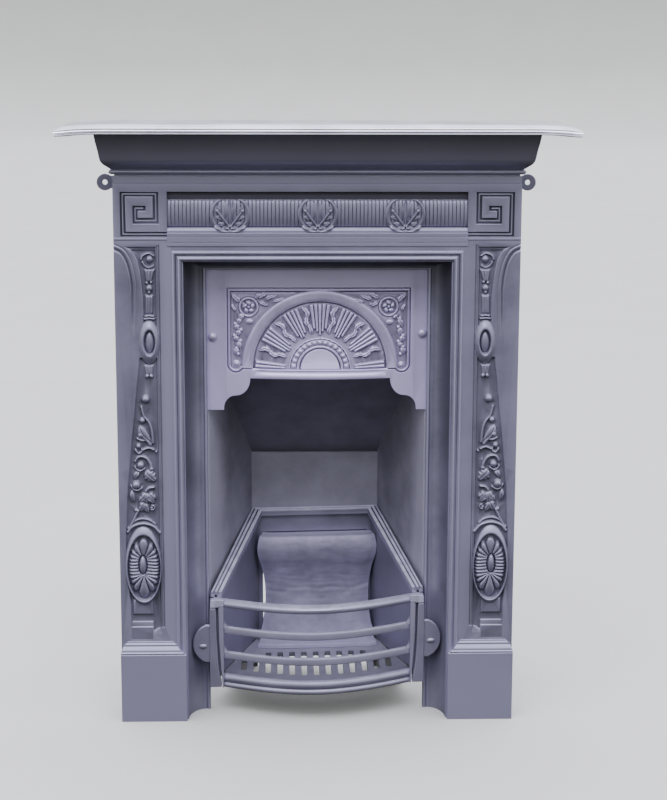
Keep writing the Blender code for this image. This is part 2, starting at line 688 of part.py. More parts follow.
def fan():
    """Fluted rays and leaves that spread from a beaded half disc, under a plain arch."""
    floor, shapes = FAN_DEEP + 0.001, []
    shapes.append(band(FAN_X, FAN_Z, 0.1040, 0.1218, -0.012, math.pi + 0.012, floor, -0.0012, 16))
    shapes.append(band(FAN_X, FAN_Z, 0.0330, 0.0460, 0.0, math.pi, floor, 0.0004, 10))
    disc = [(FAN_X + 0.0300, FAN_Z - 0.001)]
    disc += [(FAN_X + x, z) for x, z in arc_points(0, FAN_Z, 0.0300, 0.0, math.pi, 10)]
    shapes.append(slab(disc + [(FAN_X - 0.0300, FAN_Z - 0.001)], floor, 0.0000, 0.0015))
    for k in range(15):
        a = math.pi * (k + 0.5) / 15
        shapes.append(knob(FAN_X + 0.0394 * math.cos(a), FAN_Z + 0.0394 * math.sin(a), 0.0034, 0.0034, 0.0012, -0.0018, 4))

    def ray(a, start, end, half_start, half_end, crest):
        ends = []
        for r, w, y in ((start, half_start, 0.0), (end, half_end, crest)):
            x, z = FAN_X + r * math.cos(a), FAN_Z + r * math.sin(a)
            u, v = w * math.sin(a), w * math.cos(a)
            ends.append([(x - u, floor, z + v), (x, y, z), (x + u, floor, z - v)])
        return loft(ends)

    for group, flutes in zip((-86, -57, -28, 0, 28, 57, 86), (2, 3, 3, 4, 3, 3, 2)):
        for k in range(flutes):
            tilt = group + (k - (flutes - 1) / 2) * 4.1
            if abs(group) == 86:
                tilt = math.copysign(86.5, group) + (k - 0.5) * 3.4
            start = 0.0560 + 0.0080 * ((k + abs(group) // 28) % 2)
            shapes.append(ray(math.radians(90 - tilt), start, 0.1005, 0.0011, 0.0028, -0.0008))
    for group in (-71, -42.5, -14.5, 14.5, 42.5, 71):
        a = math.radians(90 - group)
        for r, side, turn in ((0.060, 0.0012, 0.15), (0.074, -0.0022, -0.25), (0.086, 0.0030, 0.3)):
            x = FAN_X + r * math.cos(a) - side * math.sin(a)
            z = FAN_Z + r * math.sin(a) + side * math.cos(a)
            shapes.append(leaf(x, z, 0.0155, 0.0075, a + turn, floor, -0.0002))
    return shapes


def spandrel(side):
    """The corner flower of the sunk field, with its falling leaves."""
    floor = FAN_DEEP + 0.001
    x, z = FRAME_X + side * 0.1080, 0.6470
    shapes = [band(x, z, 0.0118, 0.0158, 0, 2 * math.pi, floor, -0.0006, 14)]
    for k in range(5):
        a = math.pi / 2 + 2 * math.pi * k / 5
        shapes.append(knob(x + 0.0066 * math.cos(a), z + 0.0066 * math.sin(a), 0.0036, 0.0036, floor, -0.0002, 5))
    shapes.append(knob(x, z - 0.0210, 0.0046, 0.0040, floor, -0.0004, 6))
    for dx, dz, length, width, turn in (
        (0.0165, 0.0180, 0.0110, 0.0060, 0.6), (-0.0200, 0.0120, 0.0180, 0.0080, 3.0),
        (0.0150, -0.0220, 0.0190, 0.0080, -1.2),
        (0.0130, -0.0420, 0.0180, 0.0070, -1.1), (0.0180, -0.0600, 0.0170, 0.0060, -1.5),
    ):
        a = turn if side > 0 else math.pi - turn
        shapes.append(leaf(x + side * dx, z + dz, length, width, a, floor, -0.0004))
    shapes.append(knob(FRAME_X + side * 0.1285, 0.5572, 0.0050, 0.0050, floor, -0.0004, 8))
    return shapes


def hood():
    iron = painted_iron("hood_iron", (0.056, 0.058, 0.068), 0.46)
    plate = slab(hood_outline(), HOOD_THICK, 0.0)
    obj = piece("hood", plate, iron)
    combine(obj, slab(hood_pocket(), FAN_DEEP, -0.001), "DIFFERENCE")
    for shape in fan() + spandrel(-1) + spandrel(1):
        combine(obj, shape, "UNION")
    finish(obj)
    work = bmesh.new()
    work.from_mesh(obj.data)
    for k in range(-2, 3):
        everything = work.verts[:] + work.edges[:] + work.faces[:]
        bmesh.ops.bisect_plane(work, geom=everything, dist=0.00002, plane_co=(HOOD_X + k * 0.0520, 0, 0),
                               plane_no=(1, 0, 0))
    everything = work.verts[:] + work.edges[:] + work.faces[:]
    bmesh.ops.bisect_plane(work, geom=everything, dist=0.00002, plane_co=(0, 0, FRAME_TOP), plane_no=(0, 0, 1))
    bmesh.ops.triangulate(work, faces=work.faces)
    work.to_mesh(obj.data)
    work.free()
    for vertex in obj.data.vertices:
        x, _, z = vertex.co
        across = max(0.0, 1.0 - ((x - HOOD_X) / 0.1460) ** 2)
        down = min(max((FRAME_TOP - z) / (FRAME_TOP - HOOD_EDGE), 0.0), 1.0)
        vertex.co.y += HOOD_FRONT - HOOD_BOW * across * down
    obj.data.update()
    return obj


def hood_screw(name, x, z):
    iron = painted_iron(name + "_iron", (0.050, 0.052, 0.060), 0.42)
    foot = HOOD_FRONT - 0.0003
    across = max(0.0, 1.0 - ((x - HOOD_X) / 0.1460) ** 2)
    down = min(max((FRAME_TOP - z) / (FRAME_TOP - HOOD_EDGE), 0.0), 1.0)
    foot -= HOOD_BOW * across * down + 0.0008
    rings = []
    for share, lift in ((1.0, 0.0), (1.0, 0.0012), (0.82, 0.0032), (0.48, 0.0044)):
        rings.append([(x + SCREW_R * share * math.cos(math.pi * k / 6), foot - lift,
                       z + SCREW_R * share * math.sin(math.pi * k / 6)) for k in range(12)])
    screw = piece(name, capped(rings, (x, foot - 0.0048, z)), iron)
    finish(screw)
    return screw


# The firebox


def plan_prism(front_half, back_half, front, back, low, high):
    """A block whose plan narrows from the front to the back."""
    plan = [(-front_half, front), (front_half, front), (back_half, back), (-back_half, back)]
    return loft([[(x, y, low) for x, y in plan], [(x, y, high) for x, y in plan]])


def side_prism(profile, half):
    """A profile in Y and Z, run across the whole width."""
    return loft([[(-half, y, z) for y, z in profile], [(half, y, z) for y, z in profile]])


def throat_line(offset):
    """Top of the firebox: the curved plate that leans forward from the fireback to the flue."""
    line = []
    for k in range(7):
        a = math.radians(30 + 35 * k / 6)
        y = 0.2480 - 0.1480 * (k / 6) ** 0.92
        z = 0.3760 + 0.1540 * (k / 6) ** 0.80
        line.append((y + offset * math.cos(a), z + offset * math.sin(a)))
    return line


def firebox():
    iron = painted_iron("firebox_iron", (0.030, 0.030, 0.033), 0.60)
    slope = (CHEEK_FRONT - CHEEK_BACK) / (BOX_BACK - BOX_FRONT)
    outer = throat_line(BOX_WALL)
    profile = [(BOX_FRONT, 0.0), (BOX_FRONT, BOX_TOP), (outer[-1][0] - 0.001, BOX_TOP), *outer[::-1],
               (BOX_BACK + BOX_WALL, FIREBACK_TOP), (BOX_BACK + BOX_WALL, 0.0)]
    back_half = CHEEK_FRONT + BOX_WALL - slope * (BOX_BACK + BOX_WALL - BOX_FRONT)
    obj = piece("firebox", side_prism(profile, 0.2), iron)
    combine(obj, plan_prism(CHEEK_FRONT + BOX_WALL, back_half, BOX_FRONT, BOX_BACK + BOX_WALL, -0.01, 0.6), "INTERSECT")
    inner = throat_line(0.0)
    room = [(0.0400, -0.0100), (0.0400, 0.6000), (inner[-1][0], 0.6000), *inner[::-1],
            (BOX_BACK + 0.0020, FIREBACK_TOP + 0.0004), (BOX_BACK, FIREBACK_TOP), (BOX_BACK, -0.0100)]
    tool = piece("room", side_prism(room, 0.25), iron)
    grow = slope * 0.02
    combine(tool, plan_prism(CHEEK_FRONT + grow, CHEEK_BACK - grow, BOX_FRONT - 0.02, BOX_BACK + 0.02, -0.02, 0.7),
            "INTERSECT")
    points = [(v.co.x, v.co.y - FACE, v.co.z) for v in tool.data.vertices]
    faces = [tuple(p.vertices) for p in tool.data.polygons]
    bpy.data.objects.remove(tool, do_unlink=True)
    combine(obj, (points, faces), "DIFFERENCE")
    combine(obj, box(-BACK_OPEN, BACK_OPEN, 0.2350, 0.2700, -0.01, BACK_OPEN_TOP), "DIFFERENCE")
    toe = [(0.0500, -0.0100), (0.0500, 0.0520), (0.0800, 0.0460), (0.1150, 0.0300), (0.1500, 0.0100), (0.1620, -0.0100)]
    combine(obj, side_prism(toe, 0.25), "DIFFERENCE")
    finish(obj)
    return obj


# The fire basket, its grate, brick and bars


def askew(obj):
    """Leans a finished piece of the basket: its right side sits higher than its left."""
    for vertex in obj.data.vertices:
        vertex.co.z += ASKEW * vertex.co.x
    obj.data.update()


def rim_at(y):
    """Outer half width of the basket at a depth."""
    return RIM_SPREAD - (y - RIM_FRONT) * RIM_TAPER


def wall_at(y):
    """Inner half width of the basket's walls at a depth."""
    front, back = rim_at(RIM_FRONT) - WALL_IN, rim_at(RIM_BACK) - WALL_IN
    return front + (back - front) * (y - RIM_FRONT) / (RIM_BACK - WALL_IN - RIM_FRONT)


def rim_height(y):
    return RIM_LOW + (y - RIM_FRONT) * RIM_SLOPE


def basket_run(profile, foot=None):
    """A section carried from one front end round the back to the other.

    Each point is (distance in from the outline, height above the rim's slope), and a height of
    None stands for the foot.
    """
    rings = []
    for end in (RIM_FRONT, RIM_BACK):
        ring = []
        for inset, rise in profile:
            y = end - inset if end == RIM_BACK else end
            ring.append((-(rim_at(end) - inset), y, foot if rise is None else rim_height(end) + rise))
        rings.append(ring)
    return loft(rings + [[(-x, y, z) for x, y, z in ring] for ring in reversed(rings)])


def upright_block(levels, y0, y1):
    """A post with its own inner and outer edge at each height."""
    return loft([[(x0, y0, z), (x1, y0, z), (x1, y1, z), (x0, y1, z)] for x0, x1, z in levels])


def fire_basket():
    iron = painted_iron("basket_iron", (0.044, 0.045, 0.051), 0.50)
    rim = [(0.0, -0.0080), (0.0, 0.0), (0.0036, 0.0004), (0.0048, -0.0016), (0.0060, 0.0002), (0.0096, 0.0000),
           (0.0108, -0.0020), (0.0120, -0.0004), (0.0156, -0.0010), (RIM_WIDTH, -0.0030), (RIM_WIDTH, -0.0100)]
    obj = piece("fire_basket", basket_run(rim), iron)
    wall = [(WALL_OUT, None), (WALL_OUT, -0.0040), (WALL_IN, -0.0040), (WALL_IN, None)]
    combine(obj, basket_run(wall, BASKET_FOOT), "UNION")
    combine(obj, box(-0.0868, 0.0868, 0.2200, 0.2600, 0.0, BASKET_BACK), "DIFFERENCE")
    strip = upright_block([
        (0.1503, STRIP_OUT, STRIP_FOOT), (0.1510, STRIP_OUT, 0.0560), (0.1545, STRIP_OUT, 0.0740),
        (0.1575, STRIP_OUT, 0.1200), (0.1588, STRIP_OUT, 0.1740), (0.1600, STRIP_OUT - 0.0012, STRIP_TOP),
    ], 0.0200, 0.0340)
    tie = box(0.1520, 0.1662, 0.0330, 0.0400, 0.0640, STRIP_TOP - 0.001)
    ear = [(0.1620, 0.0900)]
    ear += [(0.1640 + 0.0312 * math.cos(a), 0.1195 + 0.0325 * math.sin(a))
            for a in [math.radians(-70 + 140 * k / 10) for k in range(11)]]
    ear.append((0.1620, 0.1495))
    boss = knob(0.1795, 0.1160, 0.0062, 0.0034, 0.0250, 0.0195, 6)
    for shape in both_sides([strip, tie, slab(ear, 0.0300, 0.0226, 0.001), boss]):
        combine(obj, shape, "UNION")
    finish(obj)
    askew(obj)
    return obj


def bar_line(x, setback=0.0):
    """Depth of the bowed bars at a distance from the middle."""
    t = x / BAR_HALF
    bulge = 0.82 * (1 - t * t) + 0.18 * (0.5 + 0.5 * math.cos(math.pi * min(abs(t), 1.0)))
    return BAR_END - BAR_BOW * bulge + setback


def bowed_bar(section, half=BAR_HALF, steps=8):
    """A section of (setback, height) carried along the bow from end to end."""
    rings = []
    for k in range(steps + 1):
        x = -half + 2 * half * k / steps
        rings.append([(x, bar_line(x, setback), z) for setback, z in section])
    return loft(rings)


def front_bars():
    iron = painted_iron("bars_iron", (0.058, 0.060, 0.070), 0.44)
    obj = piece("front_bars", bowed_bar([
        (0.0000, 0.1835), (0.0010, 0.1778), (0.0060, 0.1760), (0.0200, 0.1800), (0.0210, 0.1860), (0.0150, 0.1888),
        (0.0040, 0.1864)], 0.1500), iron)
    section = [(0.0, 0.0), (0.0, -0.0075), (0.0025, -0.0100), (0.0080, -0.0100), (0.0080, 0.0020), (0.0025, 0.0025)]
    for top in (0.1440, 0.1030):
        combine(obj, bowed_bar([(s, top + h) for s, h in section]), "UNION")
    combine(obj, bowed_bar([
        (0.0000, 0.0640), (-0.0006, 0.0590), (0.0026, 0.0556), (0.0026, 0.0540), (0.0000, 0.0520), (0.0002, 0.0480),
        (0.0040, 0.0452), (0.0110, 0.0452), (0.0110, 0.0664), (0.0040, 0.0668)]), "UNION")
    end = loft([[(0.1460, y0, z0), (0.1460, y1, z0), (0.1460, y1, z1), (0.1460, y0, z1)]
                for y0, y1, z0, z1 in ((0.0260, 0.0360, 0.1795, 0.1900),)]
               + [[(0.1600, 0.0185, 0.1792), (0.1600, 0.0362, 0.1792), (0.1600, 0.0362, 0.1925),
                   (0.1600, 0.0215, 0.1925)],
                  [(0.1680, 0.0185, 0.1795), (0.1680, 0.0362, 0.1795), (0.1680, 0.0362, 0.1905),
                   (0.1680, 0.0225, 0.1905)]])
    post = upright_block([
        (0.1470, 0.1492, 0.0460), (0.1470, 0.1508, 0.0740), (0.1470, 0.1541, 0.1200), (0.1470, 0.1552, 0.1820),
    ], 0.0235, 0.0300)
    shapes = [end, post]
    for top in (0.1440, 0.1030):
        x, y = BAR_HALF - 0.0006, bar_line(BAR_HALF - 0.004)
        near = bar_line(BAR_HALF - 0.014)
        shapes.append(loft([
            [(x, y, top - 0.001), (x, y, top + 0.011), (x - 0.0125, near + 0.0010, top + 0.0008)],
            [(x, y + 0.004, top - 0.001), (x, y + 0.004, top + 0.011), (x - 0.0125, near + 0.0050, top + 0.0008)],
        ]))
    for shape in both_sides(shapes):
        combine(obj, shape, "UNION")
    finish(obj)
    askew(obj)
    return obj


def bottom_grate():
    iron = painted_iron("grate_iron", (0.036, 0.036, 0.040), 0.58)
    low, high = GRATE_TOP - GRATE_THICK, GRATE_TOP
    front = [(x, bar_line(x, 0.0128)) for x in np.linspace(-0.1440, 0.1440, 13)]
    side = [(wall_at(y) - 0.0006, y) for y in (0.0660, 0.2280)]
    plan = front + side + [(-x, y) for x, y in reversed(side)]
    obj = piece("bottom_grate", loft([[(x, y, low) for x, y in plan], [(x, y, high) for x, y in plan]]), iron)
    for k in range(SLOT_COUNT):
        x = (k - (SLOT_COUNT - 1) / 2) * SLOT_PITCH
        half = SLOT_WIDTH / 2
        start, end = bar_line(x, 0.0530), 0.1220 if abs(x) > 0.0900 else SLOT_BACK
        ring = [(x + half, start + 0.003), (x + half, end - 0.003), (x + 0.002, end), (x - 0.002, end),
                (x - half, end - 0.003), (x - half, start + 0.003), (x - 0.002, start), (x + 0.002, start)]
        slot = loft([[(u, v, low - 0.002) for u, v in ring], [(u, v, high + 0.002) for u, v in ring]])
        combine(obj, slot, "DIFFERENCE")
    finish(obj)
    askew(obj)
    return obj


def back_brick():
    """The curved brick at the back of the fire, on its flat foot."""
    iron = painted_iron("brick_iron", (0.066, 0.067, 0.076), 0.54)
    levels = [
        # height, half width, front depth
        (0.0606, 0.0985, 0.1640), (0.0672, 0.0985, 0.1640), (0.0676, 0.0970, 0.2010), (0.0740, 0.0955, 0.2020),
        (0.0900, 0.0905, 0.2060), (0.1150, 0.0868, 0.2110), (0.1400, 0.0862, 0.2140), (0.1640, 0.0880, 0.2130),
        (0.1860, 0.0920, 0.2080), (0.2040, 0.0970, 0.2010), (0.2200, 0.0992, 0.1985), (0.2320, 0.0978, 0.2010),
        (0.2412, 0.0945, 0.2080),
    ]
    wall = RIM_BACK - WALL_IN - 0.0005
    rings = []
    for z, half, front in levels:
        rear = min(half, wall_at(wall) - BRICK_X - 0.0005)
        ring = [(-half, front + 0.0040), (-half * 0.94, front), (-half * 0.45, front - 0.0010),
                (half * 0.45, front - 0.0010), (half * 0.94, front), (half, front + 0.0040),
                (rear, wall), (-rear, wall)]
        rings.append([(BRICK_X + x, y, z) for x, y in ring])
    obj = piece("back_brick", loft(rings), iron)
    finish(obj, 50.0)
    askew(obj)
    return obj


def main():
    clear_scene()
    surround()
    mantel_shelf()
    hood()
    for name, (x, z) in zip(("hood_screw_left", "hood_screw_right"), SCREWS):
        hood_screw(name, x, z)
    firebox()
    fire_basket()
    bottom_grate()
    back_brick()
    front_bars()


main()
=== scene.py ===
# %% [markdown]
# # A cast iron combination fireplace
#
# The real thing is a small bedroom fireplace: one front casting with mouldings and low
# ornament, a mantel shelf laid on top, a hood held by two round-headed screws, a firebox
# behind the opening, and a fire basket with a grate, a back brick and bowed front bars.
# All of it is painted with the same satin graphite grate paint.
#
# This file dresses the solid model of that fireplace. It loads the solids as a fixed frame,
# models each casting again with Blender's own operators, and paints it with node materials.

# %% The frame
import math

import bmesh
import bpy
import mathutils
import numpy as np
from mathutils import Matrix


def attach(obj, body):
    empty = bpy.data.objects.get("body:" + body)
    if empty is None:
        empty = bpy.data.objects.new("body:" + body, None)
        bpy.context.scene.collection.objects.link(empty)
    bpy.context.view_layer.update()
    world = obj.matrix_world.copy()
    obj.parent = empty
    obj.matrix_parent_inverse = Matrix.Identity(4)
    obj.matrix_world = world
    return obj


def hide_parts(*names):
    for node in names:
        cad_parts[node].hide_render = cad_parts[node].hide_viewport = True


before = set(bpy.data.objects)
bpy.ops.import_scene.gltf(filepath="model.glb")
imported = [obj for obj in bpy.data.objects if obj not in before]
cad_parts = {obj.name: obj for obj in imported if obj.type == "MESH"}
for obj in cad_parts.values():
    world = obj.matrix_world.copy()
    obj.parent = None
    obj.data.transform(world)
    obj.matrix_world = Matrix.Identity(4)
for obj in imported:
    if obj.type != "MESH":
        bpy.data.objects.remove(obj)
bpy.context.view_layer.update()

# %% [markdown]
# ## Working like a pattern maker
#
# A moulding is a profile that runs along a path, so most castings here start as one filled
# n-gon, put where the moulding begins, and are extruded from station to station. At each
# station the newest ring of corners is set on its own place, which turns mitres and curves
# with no boolean. All depths are counted from the flat front of the jambs, the face.

# %% Where the face is
FACE = -0.0786


def in_front(points):
    """Points whose depth is counted from the face, in the frame's own coordinates."""
    return [(x, y + FACE, z) for x, y, z in points]


def begin():
    """Nothing selected, object mode."""
    if bpy.context.object and bpy.context.object.mode != "OBJECT":
        bpy.ops.object.mode_set(mode="OBJECT")
    bpy.ops.object.select_all(action="DESELECT")


def only(obj):
    """Selects one object and makes it the active one."""
    begin()
    obj.select_set(True)
    bpy.context.view_layer.objects.active = obj


# %% Extruding a section from station to station
def pull(name, rings):
    """A closed casting: a filled n-gon at the first ring, extruded to each ring after it."""
    rings = [in_front(ring) for ring in rings]
    begin()
    bpy.ops.mesh.primitive_circle_add(vertices=len(rings[0]), fill_type="NGON")
    obj = bpy.context.object
    obj.name = obj.data.name = name
    for vertex, place in zip(obj.data.vertices, rings[0]):
        vertex.co = obj.matrix_world.inverted() @ type(vertex.co)(place)
    bpy.ops.object.mode_set(mode="EDIT")
    bpy.ops.mesh.select_all(action="SELECT")
    for before, after in zip(rings, rings[1:]):
        bpy.ops.mesh.extrude_region_move()
        work = bmesh.from_edit_mesh(obj.data)
        places = np.array(before)
        for vertex in [v for v in work.verts if v.select]:
            nearest = int(np.abs(places - np.array(vertex.co)).sum(1).argmin())
            vertex.co = after[nearest]
        bmesh.update_edit_mesh(obj.data)
    bpy.ops.mesh.select_all(action="SELECT")
    bpy.ops.mesh.normals_make_consistent(inside=False)
    bpy.ops.object.mode_set(mode="OBJECT")
    return obj


def soften(obj, width=0.0006, segments=2, angle=28.0):
    """Rounds the arrises, as paint and casting sand leave them, and shades flat faces flat."""
    only(obj)
    if width:
        modifier = obj.modifiers.new("soft arrises", "BEVEL")
        modifier.width = width
        modifier.segments = segments
        modifier.limit_method = "ANGLE"
        modifier.angle_limit = math.radians(angle)
        bpy.ops.object.modifier_apply(modifier=modifier.name)
    bpy.ops.object.shade_smooth_by_angle(angle=math.radians(38))
    modifier = obj.modifiers.new("broad faces lead", "WEIGHTED_NORMAL")
    modifier.keep_sharp = True
    modifier.weight = 80
    bpy.ops.object.modifier_apply(modifier=modifier.name)
    return obj


def joined(name, parts):
    """Several shells of one casting as one object."""
    begin()
    for part in parts:
        part.select_set(True)
    bpy.context.view_layer.objects.active = parts[0]
    if len(parts) > 1:
        bpy.ops.object.join()
    whole = bpy.context.object
    whole.name = whole.data.name = name
    print(name, len(whole.data.polygons), "faces")
    return whole


def other_side(obj):
    """A mirrored copy with its own mesh, for the other jamb."""
    only(obj)
    bpy.ops.object.duplicate()
    copy = bpy.context.object
    bpy.ops.object.mode_set(mode="EDIT")
    bpy.ops.mesh.select_all(action="SELECT")
    bpy.ops.transform.resize(value=(-1, 1, 1), center_override=(0, 0, 0))
    bpy.ops.mesh.flip_normals()
    bpy.ops.object.mode_set(mode="OBJECT")
    if copy.data.has_custom_normals:
        bpy.ops.mesh.customdata_custom_splitnormals_clear()
        soften(copy, 0)
    return copy


def smooth_line(points, steps):
    """A smooth line through the points, steps pieces for each span."""
    p = np.array(points, float)
    p = np.vstack([2 * p[0] - p[1], p, 2 * p[-1] - p[-2]])
    line = []
    for k in range(1, len(p) - 2):
        a, b, c, d = p[k - 1], p[k], p[k + 1], p[k + 2]
        for s in range(steps):
            t = s / steps
            line.append(tuple(0.5 * (2 * b + (c - a) * t + (2 * a - 5 * b + 4 * c - d) * t * t
                                     + (3 * b - a - 3 * c + d) * t ** 3)))
    line.append(tuple(p[-2]))
    return line


def flat_plate(name, outline, back, front):
    """A plate with an outline in X and Z."""
    return pull(name, [[(x, y, z) for x, z in outline] for y in (back, front)])


def cut(obj, tool):
    """Takes the tool's shape out of a piece, and removes the tool."""
    only(obj)
    modifier = obj.modifiers.new("cut", "BOOLEAN")
    modifier.operation = "DIFFERENCE"
    modifier.object = tool
    bpy.ops.object.modifier_apply(modifier=modifier.name)
    bpy.data.objects.remove(tool, do_unlink=True)
    return obj

# %% [markdown]
# ## Carving a panel
#
# The pattern maker carved the ornament in wood, and no extrusion gives a leaf or a scroll. So
# an ornamented panel is a fine grid whose front is raised by motifs: a dome for a berry, a
# rounded ridge for a stem, a veined blade for a leaf, and rings and flutes worked out by
# formula. Heights are in millimetres above the face. The border is then extruded back and
# filled, so that the panel is a closed plate, and Decimate spends its triangles on the carving.

# %% A field to carve
class Field:
    """Heights in millimetres over a rectangle of X and Z, also in millimetres."""

    def __init__(self, x0, x1, z0, z1, pitch, level):
        self.xs = np.linspace(x0, x1, round((x1 - x0) / pitch) + 1)
        self.zs = np.linspace(z0, z1, round((z1 - z0) / pitch) + 1)
        self.x, self.z = np.meshgrid(self.xs, self.zs)
        self.h = np.full(self.x.shape, float(level))

    def near(self, x, z, reach):
        """The part of the field within reach of a point."""
        i = np.searchsorted(self.xs, (x - reach, x + reach))
        j = np.searchsorted(self.zs, (z - reach, z + reach))
        return slice(*j), slice(*i)

    def around(self, line, reach):
        """The part of the field within reach of a line."""
        p = np.array(line)
        i = np.searchsorted(self.xs, (p[:, 0].min() - reach, p[:, 0].max() + reach))
        j = np.searchsorted(self.zs, (p[:, 1].min() - reach, p[:, 1].max() + reach))
        return slice(*j), slice(*i)

    def up_to(self, part, height):
        self.h[part] = np.maximum(self.h[part], height)

    def down_to(self, part, height):
        self.h[part] = np.minimum(self.h[part], height)

    def blur(self, times):
        """Softens every step a little, as the moulding sand does."""
        for _ in range(times):
            h = np.pad(self.h, 1, mode="edge")
            h = (h[:-2] + 2 * h[1:-1] + h[2:]) / 4
            self.h = (h[:, :-2] + 2 * h[:, 1:-1] + h[:, 2:]) / 4


def to_line(x, z, line):
    """Distance to a line of points, and how far along it the nearest place is, from 0 to 1."""
    p = np.array(line, float)
    lengths = np.hypot(*(p[1:] - p[:-1]).T)
    run = np.concatenate([[0], np.cumsum(lengths)]) / lengths.sum()
    best = np.full(x.shape, 1e9)
    along = np.zeros(x.shape)
    for k in range(len(p) - 1):
        step = p[k + 1] - p[k]
        t = np.clip(((x - p[k, 0]) * step[0] + (z - p[k, 1]) * step[1]) / (step @ step), 0, 1)
        gap = np.hypot(x - p[k, 0] - t * step[0], z - p[k, 1] - t * step[1])
        closer = gap < best
        best = np.where(closer, gap, best)
        along = np.where(closer, run[k] + t * (run[k + 1] - run[k]), along)
    return best, along


# %% The carver's motifs
def dome(field, x, z, wide, high, foot, top, turn=0.0):
    """A berry or a cabochon: half an ellipsoid."""
    part = field.near(x, z, max(wide, high) + 1)
    dx, dz = field.x[part] - x, field.z[part] - z
    c, s = math.cos(turn), math.sin(turn)
    u, w = (dx * c + dz * s) / wide, (dz * c - dx * s) / high
    field.up_to(part, foot + (top - foot) * np.sqrt(np.clip(1 - u * u - w * w, 0, 1)))


def stem(field, points, start, end, foot, top, steps=5):
    """A rounded ridge along a smooth line, from one half width to another."""
    line = smooth_line(points, steps)
    part = field.around(line, max(start, end) + 1)
    gap, along = to_line(field.x[part], field.z[part], line)
    half = start + (end - start) * along
    field.up_to(part, foot + (top - foot) * np.sqrt(np.clip(1 - (gap / half) ** 2, 0, 1)))


def leaf(field, base, tip, wide, foot, top, vein=0.9, bend=0.0, lobes=0):
    """A blade from its base to its tip, with a sunk vein, and lobes along its edge if asked."""
    base, tip = np.array(base, float), np.array(tip, float)
    length = math.hypot(*(tip - base))
    part = field.near(*((base + tip) / 2), length / 2 + wide + abs(bend) + 1)
    ax = (tip - base) / length
    dx, dz = field.x[part] - base[0], field.z[part] - base[1]
    t = (dx * ax[0] + dz * ax[1]) / length
    off = dz * ax[0] - dx * ax[1] - bend * np.sin(math.pi * np.clip(t, 0, 1))
    inside = (t > 0) & (t < 1)
    t = np.clip(t, 0.0001, 1)
    half = wide * np.sin(math.pi * t ** 0.8) ** 0.8
    if lobes:
        half = half * (0.72 + 0.28 * np.abs(np.sin(math.pi * lobes * t)))
    v = np.abs(off) / np.maximum(half, 0.01)
    body = np.sqrt(np.clip(1 - v ** 2.4, 0, 1)) * (0.55 + 0.45 * np.sin(math.pi * t ** 0.7))
    rise = foot + (top - foot) * body - vein * np.exp(-(off / 0.55) ** 2) * (v < 1)
    field.up_to(part, np.where(inside & (v < 1), rise, -99))


def curl(field, x, z, radius, start, turns, wide, foot, top):
    """A scroll that winds in to a small ball."""
    points = []
    for k in range(int(8 * abs(turns)) + 2):
        share = k / (int(8 * abs(turns)) + 1)
        a = start + 2 * math.pi * turns * share
        r = radius * (1 - 0.72 * share)
        points.append((x + r * math.cos(a), z + r * math.sin(a)))
    stem(field, points, wide, wide * 0.8, foot, top, 3)
    dome(field, x, z, wide * 1.25, wide * 1.25, foot, top + 0.3)


def oval(field, part, x, z, wide, high):
    """1 on the outline of an oval, less inside it."""
    return np.hypot((field.x[part] - x) / wide, (field.z[part] - z) / high)


# %% From a field to a plate
def carved(name, field, back, keep):
    """The field as a closed plate down to the depth back, thinned to a share of its faces."""
    begin()
    rows, columns = field.h.shape
    bpy.ops.mesh.primitive_grid_add(x_subdivisions=columns - 1, y_subdivisions=rows - 1, size=1)
    obj = bpy.context.object
    obj.name = obj.data.name = name
    places = np.stack([field.x / 1000, FACE - field.h / 1000, field.z / 1000], -1)
    obj.data.vertices.foreach_set("co", places.astype(np.float32).ravel())
    obj.data.update()
    if keep < 1:
        modifier = obj.modifiers.new("thin", "DECIMATE")
        modifier.ratio = keep
        bpy.ops.object.modifier_apply(modifier=modifier.name)
    bpy.ops.object.mode_set(mode="EDIT")
    bpy.ops.mesh.select_mode(type="EDGE")
    bpy.ops.mesh.select_all(action="DESELECT")
    bpy.ops.mesh.select_non_manifold()
    bpy.ops.mesh.extrude_edges_move()
    work = bmesh.from_edit_mesh(obj.data)
    for vertex in [v for v in work.verts if v.select]:
        vertex.co.y = FACE + back
    bmesh.update_edit_mesh(obj.data)
    bpy.ops.mesh.edge_face_add()
    bpy.ops.object.mode_set(mode="OBJECT")
    bpy.ops.object.shade_smooth_by_angle(angle=math.radians(50))
    print(name, rows * columns, "points, kept", len(obj.data.polygons), "faces")
    return obj

# %% [markdown]
# ## The surround
#
# One large casting: two jambs and a lintel in a plate 9 mm thick, side returns that reach the
# wall, a hollow cove inside the opening, mouldings round it, a frieze of reeds, a cornice and
# two plinths. The plate is one n-gon with room left for the carved jamb panels.

# %% Sizes of the surround, in metres
BODY_HALF = 0.305
OPEN_HALF = 0.203
OPEN_TOP = 0.7235
PLATE_TOP = 0.8396
PLATE = 0.009
SIDE_WALL = 0.006
BODY_DEPTH = 0.070
PANEL_START = 0.2190
PANEL_LOW = 0.1100
PANEL_HIGH = 0.7570
FRIEZE_HALF = 0.2245
FRIEZE_BOTTOM = 0.7690
FRIEZE_HIGH = 0.8275
FRIEZE_DEEP = 0.0060
KEY_DEEP = 0.0040
PLINTH_TOP = 0.1090
PLINTH_FRONT = 0.0090
SHELF_JOINT = 0.9184

